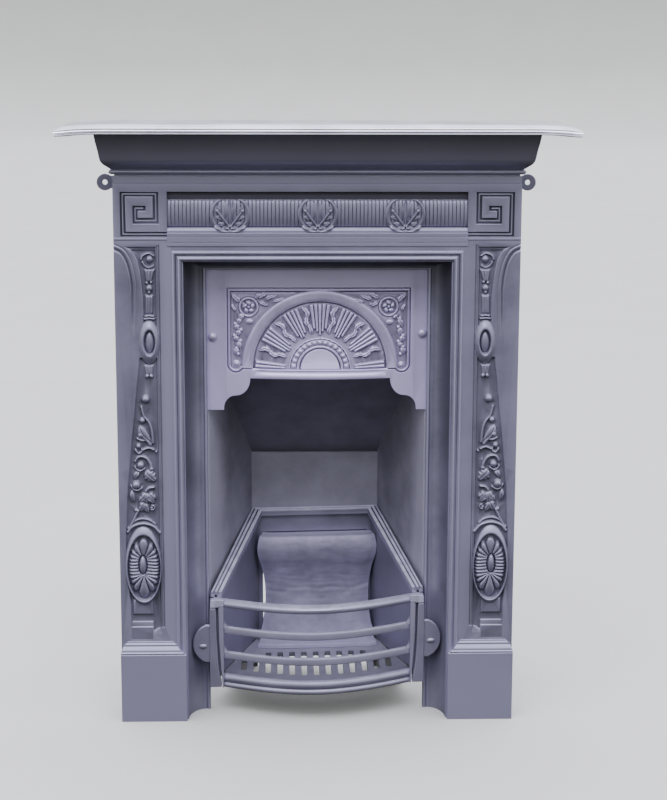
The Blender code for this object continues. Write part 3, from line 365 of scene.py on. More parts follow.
# %% The front plate and its returns
half_outline = [
    (OPEN_HALF, OPEN_TOP), (OPEN_HALF, 0.0), (BODY_HALF, 0.0), (BODY_HALF, PANEL_LOW),
    (PANEL_START, PANEL_LOW), (PANEL_START, PANEL_HIGH), (BODY_HALF, PANEL_HIGH), (BODY_HALF, PLATE_TOP),
]
outline = half_outline + [(-x, z) for x, z in reversed(half_outline)]
plate = flat_plate("plate", outline, PLATE, 0.0)
cut(plate, flat_plate("frieze recess", [
    (-FRIEZE_HALF, FRIEZE_BOTTOM), (FRIEZE_HALF, FRIEZE_BOTTOM), (FRIEZE_HALF, FRIEZE_HIGH),
    (-FRIEZE_HALF, FRIEZE_HIGH)], FRIEZE_DEEP, -0.01))
key_outline = [(-0.2943, 0.7604), (-0.2225, 0.7604), (-0.2225, 0.7678), (-0.2371, 0.7678),
               (-0.2371, 0.8270), (-0.2943, 0.8270)]
for side in (1, -1):
    cut(plate, flat_plate("key recess", [(side * x, z) for x, z in key_outline], KEY_DEEP, -0.01))
soften(plate, 0.0007)
returns = []
for side in (1, -1):
    wall = [(side * (BODY_HALF - SIDE_WALL), 0.0), (side * BODY_HALF, 0.0),
            (side * BODY_HALF, PLATE_TOP), (side * (BODY_HALF - SIDE_WALL), PLATE_TOP)]
    returns.append(soften(flat_plate("return", wall, BODY_DEPTH, PLATE), 0.0008))
print("plate", len(plate.data.polygons), "returns", len(returns))


# %% Mouldings that run round the opening
def round_opening(name, profile, foot):
    """A profile up one jamb, across the lintel and down the other, mitred at the corners."""
    left = [(-(OPEN_HALF - a), y, foot) for y, a, _ in profile]
    left_top = [(-(OPEN_HALF - a), y, OPEN_TOP - b) for y, a, b in profile]
    return pull(name, [left, left_top, [(-x, y, z) for x, y, z in left_top], [(-x, y, z) for x, y, z in left]])


cove = []
for k in range(17):
    a = math.pi / 2 * k / 16
    cove.append((0.0010 + 0.0450 * math.sin(a), 0.0010 + 0.0270 * (1 - math.cos(a))))
cove += [(0.0466, 0.0284), (0.0449, 0.0294), (0.0446, 0.0312), (0.0456, 0.0328), (0.0472, 0.0334), (0.0560, 0.0335)]
cove += [(0.0560, 0.0270), (0.0510, 0.0215), (0.0330, 0.0010), (0.0070, -0.0050), (0.0020, -0.0050)]
reveal = round_opening("reveal", [(y, a, a * 0.54) for y, a in cove], 0.0)
soften(reveal, 0)

ridge_line = smooth_line([
    (0.0020, 0.0004), (-0.0012, 0.0008), (-0.0031, 0.0026), (-0.0032, 0.0050), (-0.0014, 0.0072), (0.0004, 0.0084),
    (-0.0004, 0.0098), (-0.0024, 0.0108), (-0.0030, 0.0126), (-0.0024, 0.0146), (-0.0004, 0.0160), (0.0022, 0.0168),
], 3)
ridges = round_opening("ridges", [(y, -a, -a) for y, a in ridge_line], PLINTH_TOP - 0.008)
soften(ridges, 0)
print("mouldings", len(reveal.data.polygons) + len(ridges.data.polygons), "faces")

# %% The bands of the architrave, below the frieze
band_line = [(0.0045, 0.7464), (-0.0012, 0.7464), (-0.0016, 0.7468), (-0.0017, 0.7518), (-0.0008, 0.7522),
             (-0.0022, 0.7527), (-0.0024, 0.7596), (-0.0019, 0.7600), (-0.0028, 0.7605), (-0.0031, 0.7660),
             (-0.0024, 0.7665), (0.0045, 0.7665)]
bands = [soften(pull("bands", [[(x, y, z) for y, z in band_line] for x in (-0.2251, 0.2251)]), 0.0002)]
fillet = [(0.0045, 0.7556), (-0.0008, 0.7556), (-0.0012, 0.7560), (-0.0012, 0.7586), (-0.0004, 0.7592),
          (0.0045, 0.7592)]
for side in (1, -1):
    bands.append(soften(pull("fillet", [[(side * x, y, z) for y, z in fillet] for x in (0.2250, 0.3046)]), 0.0002))
print("bands", len(bands))

# %% The cornice, a shell that returns to the wall
cornice_front = smooth_line([
    (0.8604, 0.0012, 0.0016), (0.8640, 0.0050, 0.0090), (0.8685, 0.0105, 0.0185), (0.8735, 0.0142, 0.0250),
    (0.8800, 0.0160, 0.0285), (0.8900, 0.0176, 0.0320), (0.9040, 0.0206, 0.0370), (SHELF_JOINT, 0.0228, 0.0405)], 3)
bead = [(0.8540 + 0.0033 * math.sin(a) + 0.0030, 0.0008 + 0.0040 * math.cos(a))
        for a in [math.radians(-80 + 160 * k / 7) for k in range(8)]]
cornice_line = [(0.8300, -0.0030, -0.0030), (0.8394, -0.0030, -0.0030), (0.8398, -0.0012, -0.0012),
                (0.8404, -0.0008, -0.0008), (0.8498, -0.0008, -0.0008), (0.8504, -0.0012, -0.0012),
                (0.8508, -0.0030, -0.0030), (0.8530, -0.0030, -0.0030)]
cornice_line += [(z, out, out) for z, out in bead] + cornice_front
cornice_line += [(SHELF_JOINT, 0.0150, 0.0320), (0.9040, 0.0130, 0.0290), (0.8850, 0.0095, 0.0225),
                 (0.8740, 0.0050, 0.0140), (0.8640, -0.0050, -0.0020), (0.8560, -0.0085, -0.0085),
                 (0.8300, -0.0085, -0.0085)]
wall_end = [(-(BODY_HALF + p), BODY_DEPTH, z) for z, p, _ in cornice_line]
corner = [(-(BODY_HALF + p), -q, z) for z, p, q in cornice_line]
cornice = pull("cornice", [wall_end, corner, [(-x, y, z) for x, y, z in corner],
                           [(-x, y, z) for x, y, z in wall_end]])
soften(cornice, 0.0003, 1)
print("cornice", len(cornice.data.polygons), "faces")

# %% The plinths and their stepped tops
plinth_inner = OPEN_HALF + 0.0012
plinth_outer = BODY_HALF + 0.0010


def plinth_level(z, x0, x1, y):
    return [(x0, y, z), (x1, y, z), (x1, 0.0062, z), (x0, 0.0062, z)]


plinth = pull("plinth", [
    plinth_level(0.0, plinth_inner, plinth_outer, -PLINTH_FRONT),
    plinth_level(0.1086, plinth_inner, plinth_outer, -PLINTH_FRONT),
    plinth_level(0.1094, 0.2060, plinth_outer, -PLINTH_FRONT + 0.0012),
    plinth_level(0.1104, 0.2070, plinth_outer, -PLINTH_FRONT + 0.0012),
    plinth_level(0.1108, 0.2074, plinth_outer, -PLINTH_FRONT + 0.0002),
    plinth_level(0.1118, 0.2080, plinth_outer, -PLINTH_FRONT),
    plinth_level(0.1134, 0.2110, plinth_outer - 0.0006, -PLINTH_FRONT + 0.0016),
    plinth_level(0.1152, 0.2122, 0.3044, -PLINTH_FRONT + 0.0018),
    plinth_level(0.1170, 0.2140, 0.3040, -0.0068),
    plinth_level(0.1218, 0.2178, 0.3020, -0.0034),
    plinth_level(0.1236, 0.2182, 0.3016, -0.0033),
    plinth_level(0.1244, 0.2200, 0.2996, -0.0034),
    plinth_level(0.1268, 0.2232, 0.2970, -0.0016),
    plinth_level(0.1286, 0.2240, 0.2960, -0.0014),
    plinth_level(0.1296, 0.2260, 0.2940, 0.0010),
])
soften(plinth, 0.0003)
plinths = [plinth, other_side(plinth)]

# %% The key frets in the corner blocks
fret_outline = [
    (0.2861, 0.7678), (0.2362, 0.7678), (0.2362, 0.7797), (0.2756, 0.7797), (0.2756, 0.8064), (0.2561, 0.8064),
    (0.2561, 0.7990), (0.2681, 0.7990), (0.2681, 0.7887), (0.2457, 0.7887), (0.2457, 0.8204), (0.2866, 0.8204),
]
fret = soften(flat_plate("fret", fret_outline, KEY_DEEP + 0.001, -0.0004), 0.0008, 3)


def ribbon(path, half):
    """The outline of a strip along a path of square turns."""
    p = np.array(path)
    steps = np.diff(p, axis=0)
    steps = steps / np.abs(steps).sum(1)[:, None]
    before = np.vstack([steps[:1], steps])
    after = np.vstack([steps, steps[-1:]])
    out = np.stack([-(before[:, 1] + after[:, 1]), before[:, 0] + after[:, 0]], 1)
    out /= np.maximum(np.abs(out).max(1), 1e-9)[:, None]
    return [tuple(q) for q in p + out * half] + [tuple(q) for q in (p - out * half)[::-1]]


groove_middle = [(0.2234, 0.7641), (0.2905, 0.7641), (0.2905, 0.8237), (0.2414, 0.8237), (0.2414, 0.7842),
                 (0.2718, 0.7842), (0.2718, 0.8027), (0.2600, 0.8027)]
bead = soften(flat_plate("groove bead", ribbon(groove_middle, 0.0011), KEY_DEEP + 0.001, KEY_DEEP - 0.0016), 0.0006)
frets = [fret, bead, other_side(fret), other_side(bead)]

# %% The fixing lugs, half sunk in the returns
LUG_X, LUG_Z, LUG_R, LUG_HOLE = 0.3217, 0.8370, 0.0126, 0.0040
begin()
bpy.ops.mesh.primitive_circle_add(vertices=28, radius=LUG_HOLE, location=(LUG_X, FACE + 0.0630, LUG_Z),
                                  rotation=(math.pi / 2, 0, 0))
lug = bpy.context.object
bpy.ops.object.transform_apply(location=True, rotation=True, scale=True)
bpy.ops.object.mode_set(mode="EDIT")
bpy.ops.mesh.select_all(action="SELECT")
hole = (LUG_X, FACE + 0.0630, LUG_Z)
for move, grow in ((0.0065, 1.0), (0.0, LUG_R / LUG_HOLE), (-0.0065, 1.0), (0.0, LUG_HOLE / LUG_R)):
    bpy.ops.mesh.extrude_edges_move(TRANSFORM_OT_translate={"value": (0, move, 0)})
    bpy.ops.transform.resize(value=(grow, 1, grow), center_override=hole)
bpy.ops.mesh.select_all(action="SELECT")
bpy.ops.mesh.remove_doubles(threshold=0.00001)
bpy.ops.mesh.normals_make_consistent(inside=False)
bpy.ops.object.mode_set(mode="OBJECT")
soften(lug, 0.0008)
neck = [(BODY_HALF - 0.003, LUG_Z - 0.0095), (LUG_X - 0.0058, LUG_Z - 0.0095), (LUG_X - 0.0058, LUG_Z + 0.0095),
        (BODY_HALF - 0.003, LUG_Z + 0.0095)]
neck = soften(flat_plate("neck", neck, 0.0693, 0.0632), 0.0006)
lugs = [lug, neck, other_side(lug), other_side(neck)]
print("lugs", len(lugs))

# %% [markdown]
# ## The jamb panels
#
# A jamb is sunk in three lengths that swell from top to bottom. Bells and a bud hang at the
# top, an oval cabochon in its collar follows, then a trail of berries, leaves and scrolls,
# and a long oval flower above a stepped block. Both jambs were cast from one pattern, so the
# panel is carved once, at half a millimetre, for the jamb at positive X, and mirrored.

# %% Where the sunk lengths of a jamb run, in millimetres
FLOOR = -4.0
PANEL_INNER = 241.3
upper_side = ((634, 263.8), (649, 263.1), (670, 263.3), (691, 265.5), (706, 267.0), (724, 270.2), (735, 275.0),
              (741, 280.5), (745.5, 288.0))
lower_side = ((130, 289.5), (190, 290.0), (250, 296.0), (294, 296.0), (325, 294.4), (372, 292.0), (411, 288.0),
              (450, 284.4), (497, 279.0), (536, 275.0), (578, 269.8))
sweep = [(307, 743), (294.4, 736.6), (286.2, 723.8), (281.2, 706.6), (278.4, 685.2), (278.2, 668), (278.6, 640),
         (279.4, 600), (280.6, 570)]


def slope(inset, reach):
    """0 at an edge and 1 from a distance in, with both ends eased."""
    t = np.clip(inset / reach, 0, 1)
    return t * t * (3 - 2 * t)


def sink(field, side, low, high, top_reach):
    """Sinks one length of the jamb, between its straight inner edge and its swelling outer one."""
    heights, edges = zip(*side)
    outer = np.interp(field.z, heights, edges)
    inset = np.minimum.reduce([field.x - PANEL_INNER, outer - field.x, (high - field.z) * 2.6 / top_reach,
                               field.z - low])
    field.down_to((slice(None), slice(None)), np.where(inset > 0, FLOOR * slope(inset, 2.6), 99))


jamb = Field(PANEL_START * 1000, BODY_HALF * 1000, PANEL_LOW * 1000, PANEL_HIGH * 1000, 0.5, 0.0)
sink(jamb, upper_side, 600, 745.5, 1.6)
sink(jamb, lower_side, 131, 578, 2.6)
gap, along = to_line(jamb.x, jamb.z, smooth_line(sweep, 6))
heights, edges = zip(*sorted((z, x) for x, z in smooth_line(sweep, 6)))
inside = np.interp(jamb.z, heights, edges) > jamb.x
away = np.where(inside, gap, -gap)
fade = slope(jamb.z - 588, 70)
lines = -2.5 * np.exp(-(away / 1.5) ** 2) + 0.5 * np.exp(-((away - 4.4) / 1.7) ** 2) * (away > 0)
lines = (lines - 0.8 * np.exp(-((away - 6.8) / 0.7) ** 2)) * fade
jamb.h = np.where(jamb.h > -0.1, jamb.h + lines, jamb.h)
beside = (slope(jamb.x - PANEL_INNER + 4.6, 0.9) * slope(PANEL_INNER - jamb.x + 0.4, 0.6)
          * slope(jamb.z - 150, 3) * slope(749 - jamb.z, 3))
jamb.h -= beside * (1.5 - 1.1 * np.exp(-((jamb.x - PANEL_INNER + 1.6) / 0.9) ** 2))
jamb.h = np.where((jamb.z > 740.6) & (jamb.z < 745.5), np.maximum(jamb.h, np.minimum(jamb.h + 3, -2.3)), jamb.h)
print("jamb field", jamb.h.shape)


# %% Ovals, strips and steps
def between_ovals(field, inner, outer):
    """How far each point is from an inner oval, 0, to an outer one, 1. An oval is (x, z, wide, high)."""
    everywhere = (slice(None), slice(None))
    past = oval(field, everywhere, *inner) - 1
    left = 1 - oval(field, everywhere, *outer)
    return np.where((past > 0) & (left > 0), past / (past + left + 1e-9), -1)


def strip(field, top, foot_end, flutes, foot, height):
    """A tapered strip with flutes along it. Each end is (x, z, half width)."""
    share = (top[1] - field.z) / (top[1] - foot_end[1])
    middle = top[0] + (foot_end[0] - top[0]) * share
    half = top[2] + (foot_end[2] - top[2]) * share
    v = (field.x - middle) / half
    inside = (share > 0) & (share < 1) & (np.abs(v) < 1)
    round_off = np.sqrt(np.clip(1 - np.abs(v) ** 4, 0, 1)) * slope(np.minimum(share, 1 - share), 0.12)
    ridges = 0.72 + 0.28 * np.abs(np.cos(math.pi * flutes * (v + 1) / 2 + math.pi / 2))
    field.h = np.where(inside, np.maximum(field.h, foot + (height - foot) * round_off * ridges), field.h)


def block(field, x0, x1, z0, z1, height, reach=1.4):
    """A flat step with eased edges."""
    inset = np.minimum.reduce([field.x - x0, x1 - field.x, field.z - z0, z1 - field.z])
    field.h = np.where(inset > 0, np.maximum(field.h, FLOOR + (height - FLOOR) * slope(inset, reach)), field.h)


# %% The oval cabochon and its collar
t = between_ovals(jamb, (253.7, 601.0, 7.8, 17.2), (254.2, 601.0, 16.6, 33.0))
fall = np.clip((t - 0.34) / 0.66, 0, 1)
collar = np.where(t < 0.34, -2.5 + 7.6 * np.sin(math.pi / 2 * np.clip(t, 0, 1) / 0.34), 5.1 - 6.6 * fall ** 2.2)
jamb.h = np.where(t >= 0, np.maximum(jamb.h, collar), jamb.h)
well = oval(jamb, (slice(None), slice(None)), 253.7, 601.0, 7.8, 17.2) < 1
jamb.h = np.where(well, -1.4, jamb.h)
dome(jamb, 253.7, 601.0, 6.6, 15.6, -1.6, 3.2)
for height, half in ((641.5, 6.0), (637.4, 7.4)):
    stem(jamb, [(253.6 + half, height - 0.8), (253.6, height), (253.6 - half, height - 0.8)], 1.5, 1.5, FLOOR, 0.2)

# %% Bells, beads and a bud at the top of the jamb
dome(jamb, 251.7, 727.0, 5.4, 5.4, FLOOR, 2.2)
stem(jamb, [(264.5, 726.5), (262.5, 731.5), (257.5, 734.6), (251.6, 735.6), (245.2, 731.5)], 1.9, 1.0, FLOOR, 0.2)
stem(jamb, [(262.5, 722.5), (258.5, 716.8), (252.5, 714.2), (246.6, 716.8)], 1.6, 1.0, FLOOR, 0.0)
dome(jamb, 264.2, 727.0, 2.3, 2.3, FLOOR, -0.2)
strip(jamb, (252.0, 712.5, 8.6), (253.2, 692.5, 3.6), 3, FLOOR, 0.4)
for x, z, r in ((256.2, 691.3, 2.5), (250.0, 692.2, 2.5), (253.0, 683.0, 5.0), (253.2, 677.0, 2.6)):
    dome(jamb, x, z, r, r * 1.1, FLOOR, 0.2 + 0.25 * r)
strip(jamb, (253.4, 673.6, 6.0), (253.8, 643.0, 5.8), 3, FLOOR, -0.8)
strip(jamb, (255.6, 566.5, 7.4), (255.2, 551.0, 5.2), 3, FLOOR, -0.8)
for x in (258.2, 252.0):
    dome(jamb, x, 549.2, 3.2, 3.8, FLOOR, 0.4, 0.4 if x > 255 else -0.4)

# %% The trail of berries, leaves and scrolls
berries = ((261.1, 513.6, 6.2), (266.7, 480.5, 4.5), (269.8, 457.8, 5.0), (273.0, 440.6, 4.1), (254.3, 404.8, 3.8),
           (270.5, 411.0, 5.7), (277.6, 379.8, 6.6), (278.4, 339.3, 3.1), (290.3, 310.9, 3.0), (250.4, 434.6, 1.9),
           (246.4, 431.6, 1.9))
for x, z, r in berries:
    dome(jamb, x, z, r, r, FLOOR, FLOOR + 1.8 + 0.95 * r)
stems = (
    ([(267.8, 501.5), (264.0, 487.2), (256.4, 477.1), (252.3, 462.9), (251.3, 446.0)], 1.3, 2.0),
    ([(274.8, 452.4), (267.5, 449.2), (261.2, 449.8), (255.4, 443.2)], 1.3, 2.5),
    ([(266.9, 434.4), (260.0, 437.4), (254.8, 437.4), (250.6, 434.8)], 1.5, 1.1),
    ([(277.6, 434.6), (273.4, 429.4), (268.0, 432.8), (268.6, 436.4)], 1.4, 1.0),
    ([(279.0, 416.4), (275.0, 422.6), (268.4, 424.4), (260.6, 420.8), (255.4, 412.4), (254.3, 405.6)], 1.3, 2.3),
    ([(279.0, 408.0), (276.0, 403.6), (270.6, 402.0), (265.2, 405.4)], 1.0, 1.3),
    ([(285.6, 378.4), (281.6, 372.6), (275.6, 371.2), (269.6, 374.8)], 1.1, 1.5),
    ([(263.4, 369.6), (258.4, 374.6), (251.0, 375.8)], 1.8, 1.1),
    ([(275.8, 338.6), (280.0, 329.6), (285.0, 319.6), (290.0, 311.6)], 1.9, 1.2),
)
for line, start, end in stems:
    stem(jamb, line, start * 1.25, end * 1.25, FLOOR, 0.5)
leaves = (
    ((271.5, 471.5), (253.4, 447.0), 5.2, 3.2, 0), ((263.5, 401.5), (247.6, 385.6), 6.0, 1.0, 4),
    ((262.6, 367.0), (274.8, 352.8), 4.0, -1.6, 2), ((261.0, 366.6), (264.0, 347.0), 4.2, 1.2, 2),
    ((258.6, 366.4), (247.2, 358.0), 3.6, 1.6, 2), ((262.2, 359.0), (250.2, 350.4), 3.2, -1.2, 0),
    ((266.6, 352.6), (273.2, 337.8), 4.4, -1.4, 2), ((265.0, 351.0), (259.4, 335.6), 3.6, 1.2, 2),
    ((284.6, 370.8), (281.2, 352.6), 2.6, 1.2, 0), ((273.0, 400.0), (281.4, 388.6), 2.8, 1.0, 0),
)
for base, tip, wide, bend, lobes in leaves:
    leaf(jamb, base, tip, wide * 1.6, FLOOR, 1.4, 1.4, bend, lobes)
curl(jamb, 254.2, 342.8, 4.4, math.pi / 2, 1.0, 1.2, FLOOR, -0.4)
print("trail", len(berries), "berries", len(stems), "stems", len(leaves), "leaves")

# %% The long oval flower
everywhere = (slice(None), slice(None))
t = between_ovals(jamb, (268.0, 247.6, 25.2, 51.0), (268.8, 251.0, 28.4, 63.0))
fall = np.clip((t - 0.3) / 0.7, 0, 1)
rim = np.where(t < 0.3, -1.5 + 6.5 * np.sin(math.pi / 2 * np.clip(t, 0, 1) / 0.3), 5.0 - 6.0 * fall ** 1.5)
jamb.h = np.where(t >= 0, np.maximum(jamb.h, rim), jamb.h)
dish = oval(jamb, everywhere, 268.0, 247.6, 25.2, 51.0)
spine, bend_radius = 12.0, 16.0
dx, dz = jamb.x - 268.4, jamb.z - 249.5
past = np.abs(dz) - spine
run = np.where(past > 0, bend_radius * np.arctan2(np.abs(dx), np.maximum(past, 1e-6)),
               bend_radius * math.pi / 2 - past)
phase = 6 * (np.clip(run, 0, 99) / (bend_radius * math.pi / 2 + spine)) ** 1.25
v = (phase - np.round(phase)) * 2
across = np.sqrt(np.clip(1 - np.abs(v) ** 2.6, 0, 1))
tip = slope(0.985 - 0.17 * v ** 2 - dish, 0.13)
length = 0.45 + 0.55 * np.sin(math.pi * np.clip((dish - 0.22) / 0.80, 0, 1) ** 1.25)
petals = -3.8 + 6.4 * across * tip * length + 1.0 * (1 - dish ** 2)
jamb.h = np.where(dish < 1, np.where(dish < 0.985, petals, -3.0), jamb.h)
eye = oval(jamb, everywhere, 269.8, 252.6, 7.2, 16.6)
jamb.h = np.where(eye < 1, np.minimum(jamb.h, -3.0), jamb.h)
dome(jamb, 269.8, 252.6, 5.6, 14.6, -3.8, 4.4)
stem(jamb, [(291.5, 305.5), (284.2, 314.0), (269.0, 318.6), (253.0, 314.4), (243.0, 304.0)], 2.6, 2.6, FLOOR, 1.6)
stem(jamb, [(286.0, 317.5), (279.0, 323.6), (268.4, 326.2), (257.6, 323.6), (250.0, 317.5)], 1.7, 1.7, FLOOR, 0.2)
print("flower", int((dish < 1).sum()), "points")

# %% The stepped block below the flower
block(jamb, 254.8, 286.0, 172.5, 196.0, -0.6)
block(jamb, 255.0, 289.0, 129.0, 161.0, -2.4, 1.0)
block(jamb, 254.0, 290.5, 129.0, 153.6, -0.8, 1.8)
ramp = np.clip((153.0 - jamb.z) / 13.0, 0, 1) * 4 - 4
corner_stop = (jamb.x > PANEL_INNER) & (jamb.x < 256) & (jamb.z < 153) & (jamb.x - 241 < (153 - jamb.z) * 1.9)
jamb.h = np.where(corner_stop, np.maximum(jamb.h, ramp), jamb.h)
jamb.blur(1)
jamb_panel = carved("jamb_panel", jamb, PLATE, 0.15)
jamb_panels = [jamb_panel, other_side(jamb_panel)]

# %% [markdown]
# ## The frieze
#
# The frieze is a sunk band of upright reeds that bulges forward like a cushion, broken by
# three rimmed roundels with a palmette. The reeds are a field whose columns follow each reed,
# so that every crest is sharp with few faces. Each rim is carved in its roundel's field, on the cushion.

# %% The reeds
REED_LOW, REED_HIGH, REED_PITCH = 775.3, 815.8, 5.75
reed_count = round(2 * FRIEZE_HALF * 1000 / REED_PITCH)
reed_pitch = 2 * FRIEZE_HALF * 1000 / reed_count
reeds = Field(0, 1, 0, 1, 1, 0)
inside_reed = (0.02, 0.12, 0.28, 0.5, 0.72, 0.88, 0.98)
reeds.xs = np.array([-FRIEZE_HALF * 1000 + reed_pitch * (k + part) for k in range(reed_count) for part in inside_reed])
reeds.zs = REED_LOW + (REED_HIGH - REED_LOW) * (0.5 - 0.5 * np.cos(math.pi * np.linspace(0, 1, 15)))
reeds.x, reeds.z = np.meshgrid(reeds.xs, reeds.zs)
cushion = np.sqrt(np.clip(1 - ((2 * reeds.z - REED_LOW - REED_HIGH) / (REED_HIGH - REED_LOW)) ** 2, 0, 1))
within = ((reeds.x / reed_pitch + reed_count / 2) % 1 - 0.5) * 2
reeds.h = -6.6 + 4.0 * cushion ** 0.8 + 2.4 * np.sqrt(np.clip(1 - within ** 2, 0, 1)) * (0.35 + 0.65 * cushion)
reed_band = carved("reeds", reeds, 0.0075, 1.0)

# %% One roundel and its two copies
ROUNDEL_Z = 794.0
palmette = Field(-31.5, 31.5, 768.6, REED_HIGH + 0.3, 0.42, 0.0)
radius = oval(palmette, everywhere, 0, ROUNDEL_Z, 1, 1)
swell = np.sqrt(np.clip(1 - ((2 * palmette.z - REED_LOW - REED_HIGH) / (REED_HIGH - REED_LOW)) ** 2, 0, 1))
ground = -6.4 + 4.2 * swell ** 0.8
ground += (-0.6 - ground) * slope(779 - palmette.z, 6)
leaf(palmette, (0, 780), (0, 818), 4.2, 0, 2.6, 0.0)
stem(palmette, [(0, 778), (0, 798), (0, 814)], 1.7, 1.1, 0, 3.8)
for side in (-1, 1):
    leaf(palmette, (side * 4.6, 787), (side * 9.6, 816), 3.8, 0, 2.2, 0.5, side * 1.0)
    stem(palmette, [(side * 1.2, 776.5), (side * 7.4, 784), (side * 13.6, 792), (side * 18.6, 798.4)], 2.0, 2.8, 0, 3.8)
    dome(palmette, side * 18.8, 799.0, 3.8, 3.4, 0, 4.2)
    stem(palmette, [(side * 15.0, 801.5), (side * 19.0, 806.0), (side * 16.0, 811.0)], 1.9, 1.4, 0, 2.6)
    leaf(palmette, (side * 10.5, 785.4), (side * 23.2, 790.0), 4.0, 0, 2.8, 0.6, side * 1.6)
    leaf(palmette, (side * 6.0, 780.0), (side * 20.6, 780.6), 3.4, 0, 2.4, 0.5, -side * 1.2)
    stem(palmette, [(side * 2.6, 773.4), (side * 8.5, 771.2), (side * 14.5, 772.4), (side * 18.0, 775.4)], 2.4, 2.6, 0, 3.4)
edge = np.clip(1 - ((radius - 27.4) / 3.3) ** 2, 0, 1) ** 0.35
palmette.h = np.where(radius < 22.6, palmette.h, np.where(radius < 24.1, -1.8, 3.4 * edge))
palmette.h = np.where(radius > 30.6, -7.2, palmette.h * 1.3 + ground)
palmette.blur(1)
roundel = carved("roundel", palmette, 0.0075, 0.34)
roundels = [roundel]
for x in (-0.131, 0.131):
    only(roundel)
    bpy.ops.object.duplicate()
    bpy.ops.object.mode_set(mode="EDIT")
    bpy.ops.mesh.select_all(action="SELECT")
    bpy.ops.transform.translate(value=(x, 0, 0))
    bpy.ops.object.mode_set(mode="OBJECT")
    roundels.append(bpy.context.object)
sill = soften(pull("frieze sill", [[(-FRIEZE_HALF, y, z), (FRIEZE_HALF, y, z), (FRIEZE_HALF, y, z + high),
                                    (-FRIEZE_HALF, y, z + high)]
                                   for y, z, high in ((0.0070, 0.7666, 0.0076), (0.0022, 0.7666, 0.0072),
                                                      (-0.0004, 0.7666, 0.0036))]), 0.0005)
print("frieze", reed_count, "reeds", len(roundels), "roundels")

# %% All of the surround as one casting
surround = joined("surround_casting", [plate, *returns, reveal, ridges, *bands, cornice, *plinths, *frets, *lugs,
                                       *jamb_panels, reed_band, *roundels, sill])
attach(surround, "root")
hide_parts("surround")

# %% [markdown]
# ## The mantel shelf
#
# A plain moulded board of iron whose two front corners sweep out and droop a little. It is
# pulled upwards, ring by ring, from its underside to its top.

# %% The shelf
SHELF_HALF, SHELF_FRONT, SHELF_UNDER, SHELF_LIP, SHELF_TOP = 0.3750, 0.0880, 0.9187, 0.9158, 0.9300
CORNER_SWEEP, CORNER_REACH, CORNER_DROP = 0.007, 0.060, 0.003


def shelf_ring(inset, z, droop):
    """The three moulded edges at one height, with their swept and drooping corners."""
    half, front = SHELF_HALF - inset, SHELF_FRONT - inset
    points = []
    for share in (0.0, 0.18, 0.34, 0.48, 0.60, 0.70, 0.79, 0.87, 0.94):
        y = BODY_DEPTH - (BODY_DEPTH + front) * share
        flare = (1 - min((y + front) / CORNER_REACH, 1.0)) ** 2.2
        points.append((half + CORNER_SWEEP * (flare - 0.4), y, z - CORNER_DROP * flare * droop))
    tip = CORNER_SWEEP * 0.6
    points.append((half + tip, -front - tip, z - CORNER_DROP * droop))
    for gap in (0.006, 0.012, 0.020, 0.029, 0.040, 0.060, 0.120, 0.240):
        flare = max(1 - gap / CORNER_REACH, 0.0) ** 2.2
        points.append((half - gap, -front - CORNER_SWEEP * (flare - 0.4), z - CORNER_DROP * flare * droop))
    return points + [(-x, y, w) for x, y, w in reversed(points)]


shelf_edge = [(0.0560, SHELF_UNDER, 0), (0.0300, SHELF_UNDER, 0), (0.0120, SHELF_UNDER - 0.0004, 0.6)]
lip = [(0.0090, SHELF_LIP), (0.0028, SHELF_LIP), (0.0006, SHELF_LIP + 0.0008), (0.0006, SHELF_LIP + 0.0020),
       (0.0026, SHELF_LIP + 0.0031), (0.0006, SHELF_LIP + 0.0040), (0.0000, SHELF_LIP + 0.0052),
       (0.0006, SHELF_LIP + 0.0062), (0.0030, SHELF_LIP + 0.0070), (0.0032, SHELF_LIP + 0.0076),
       (0.0016, SHELF_LIP + 0.0084), (0.0020, SHELF_LIP + 0.0096), (0.0050, SHELF_LIP + 0.0104),
       (0.0062, SHELF_LIP + 0.0106)]
shelf_edge += [(inset, z, 1) for inset, z in lip]
shelf_edge += [(0.0090, SHELF_TOP - 0.0012, 1), (0.0160, SHELF_TOP - 0.0002, 0.8), (0.0400, SHELF_TOP, 0.2),
               (0.0800, SHELF_TOP, 0)]
shelf = pull("mantel_shelf_casting", [shelf_ring(*step) for step in shelf_edge])
soften(shelf, 0)
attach(shelf, "root")
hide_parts("mantel_shelf")
print("shelf", len(shelf.data.polygons), "faces")

# %% [markdown]
# ## The hood
#
# The hood is a thin plate with two legs. Its lower middle bows forward, and a sunk field in it
# holds a fan under an arch. The plate is pulled flat, its field is cut out, and planes are
# laid through it so that it can bend. The field is carved flat too. Both are then bowed by the
# same rule, a parabola across that grows on the way down, and so they still fit.

# %% Sizes of the hood
HOOD_X, HOOD_HALF, HOOD_FRONT, HOOD_THICK = 0.0050, 0.1760, 0.0565, 0.0050
HOOD_TOP, HOOD_EDGE, HOOD_LEG, HOOD_BOW = 0.7180, 0.5360, 0.4852, 0.0180
FRAME_X, FRAME_HALF, FRAME_TOP, FRAME_LOW = 0.0029, 0.1417, 0.6762, 0.5500
LOBE_R, LOBE_Z = 0.0132, 0.5572
POCKET = 0.0035


def bow_of(x, z):
    """How far the hood stands forward of its flat rim."""
    across = max(0.0, 1.0 - ((x - HOOD_X) / 0.1460) ** 2) ** 1.3
    return HOOD_BOW * across * min(max((FRAME_TOP - z) / (FRAME_TOP - HOOD_EDGE), 0.0), 1.0)


def bowed(obj):
    """Sets a flat piece of the hood back behind the face, and bows it."""
    for vertex in obj.data.vertices:
        vertex.co.y += HOOD_FRONT - bow_of(vertex.co.x, vertex.co.z)
    obj.data.update()
    return obj


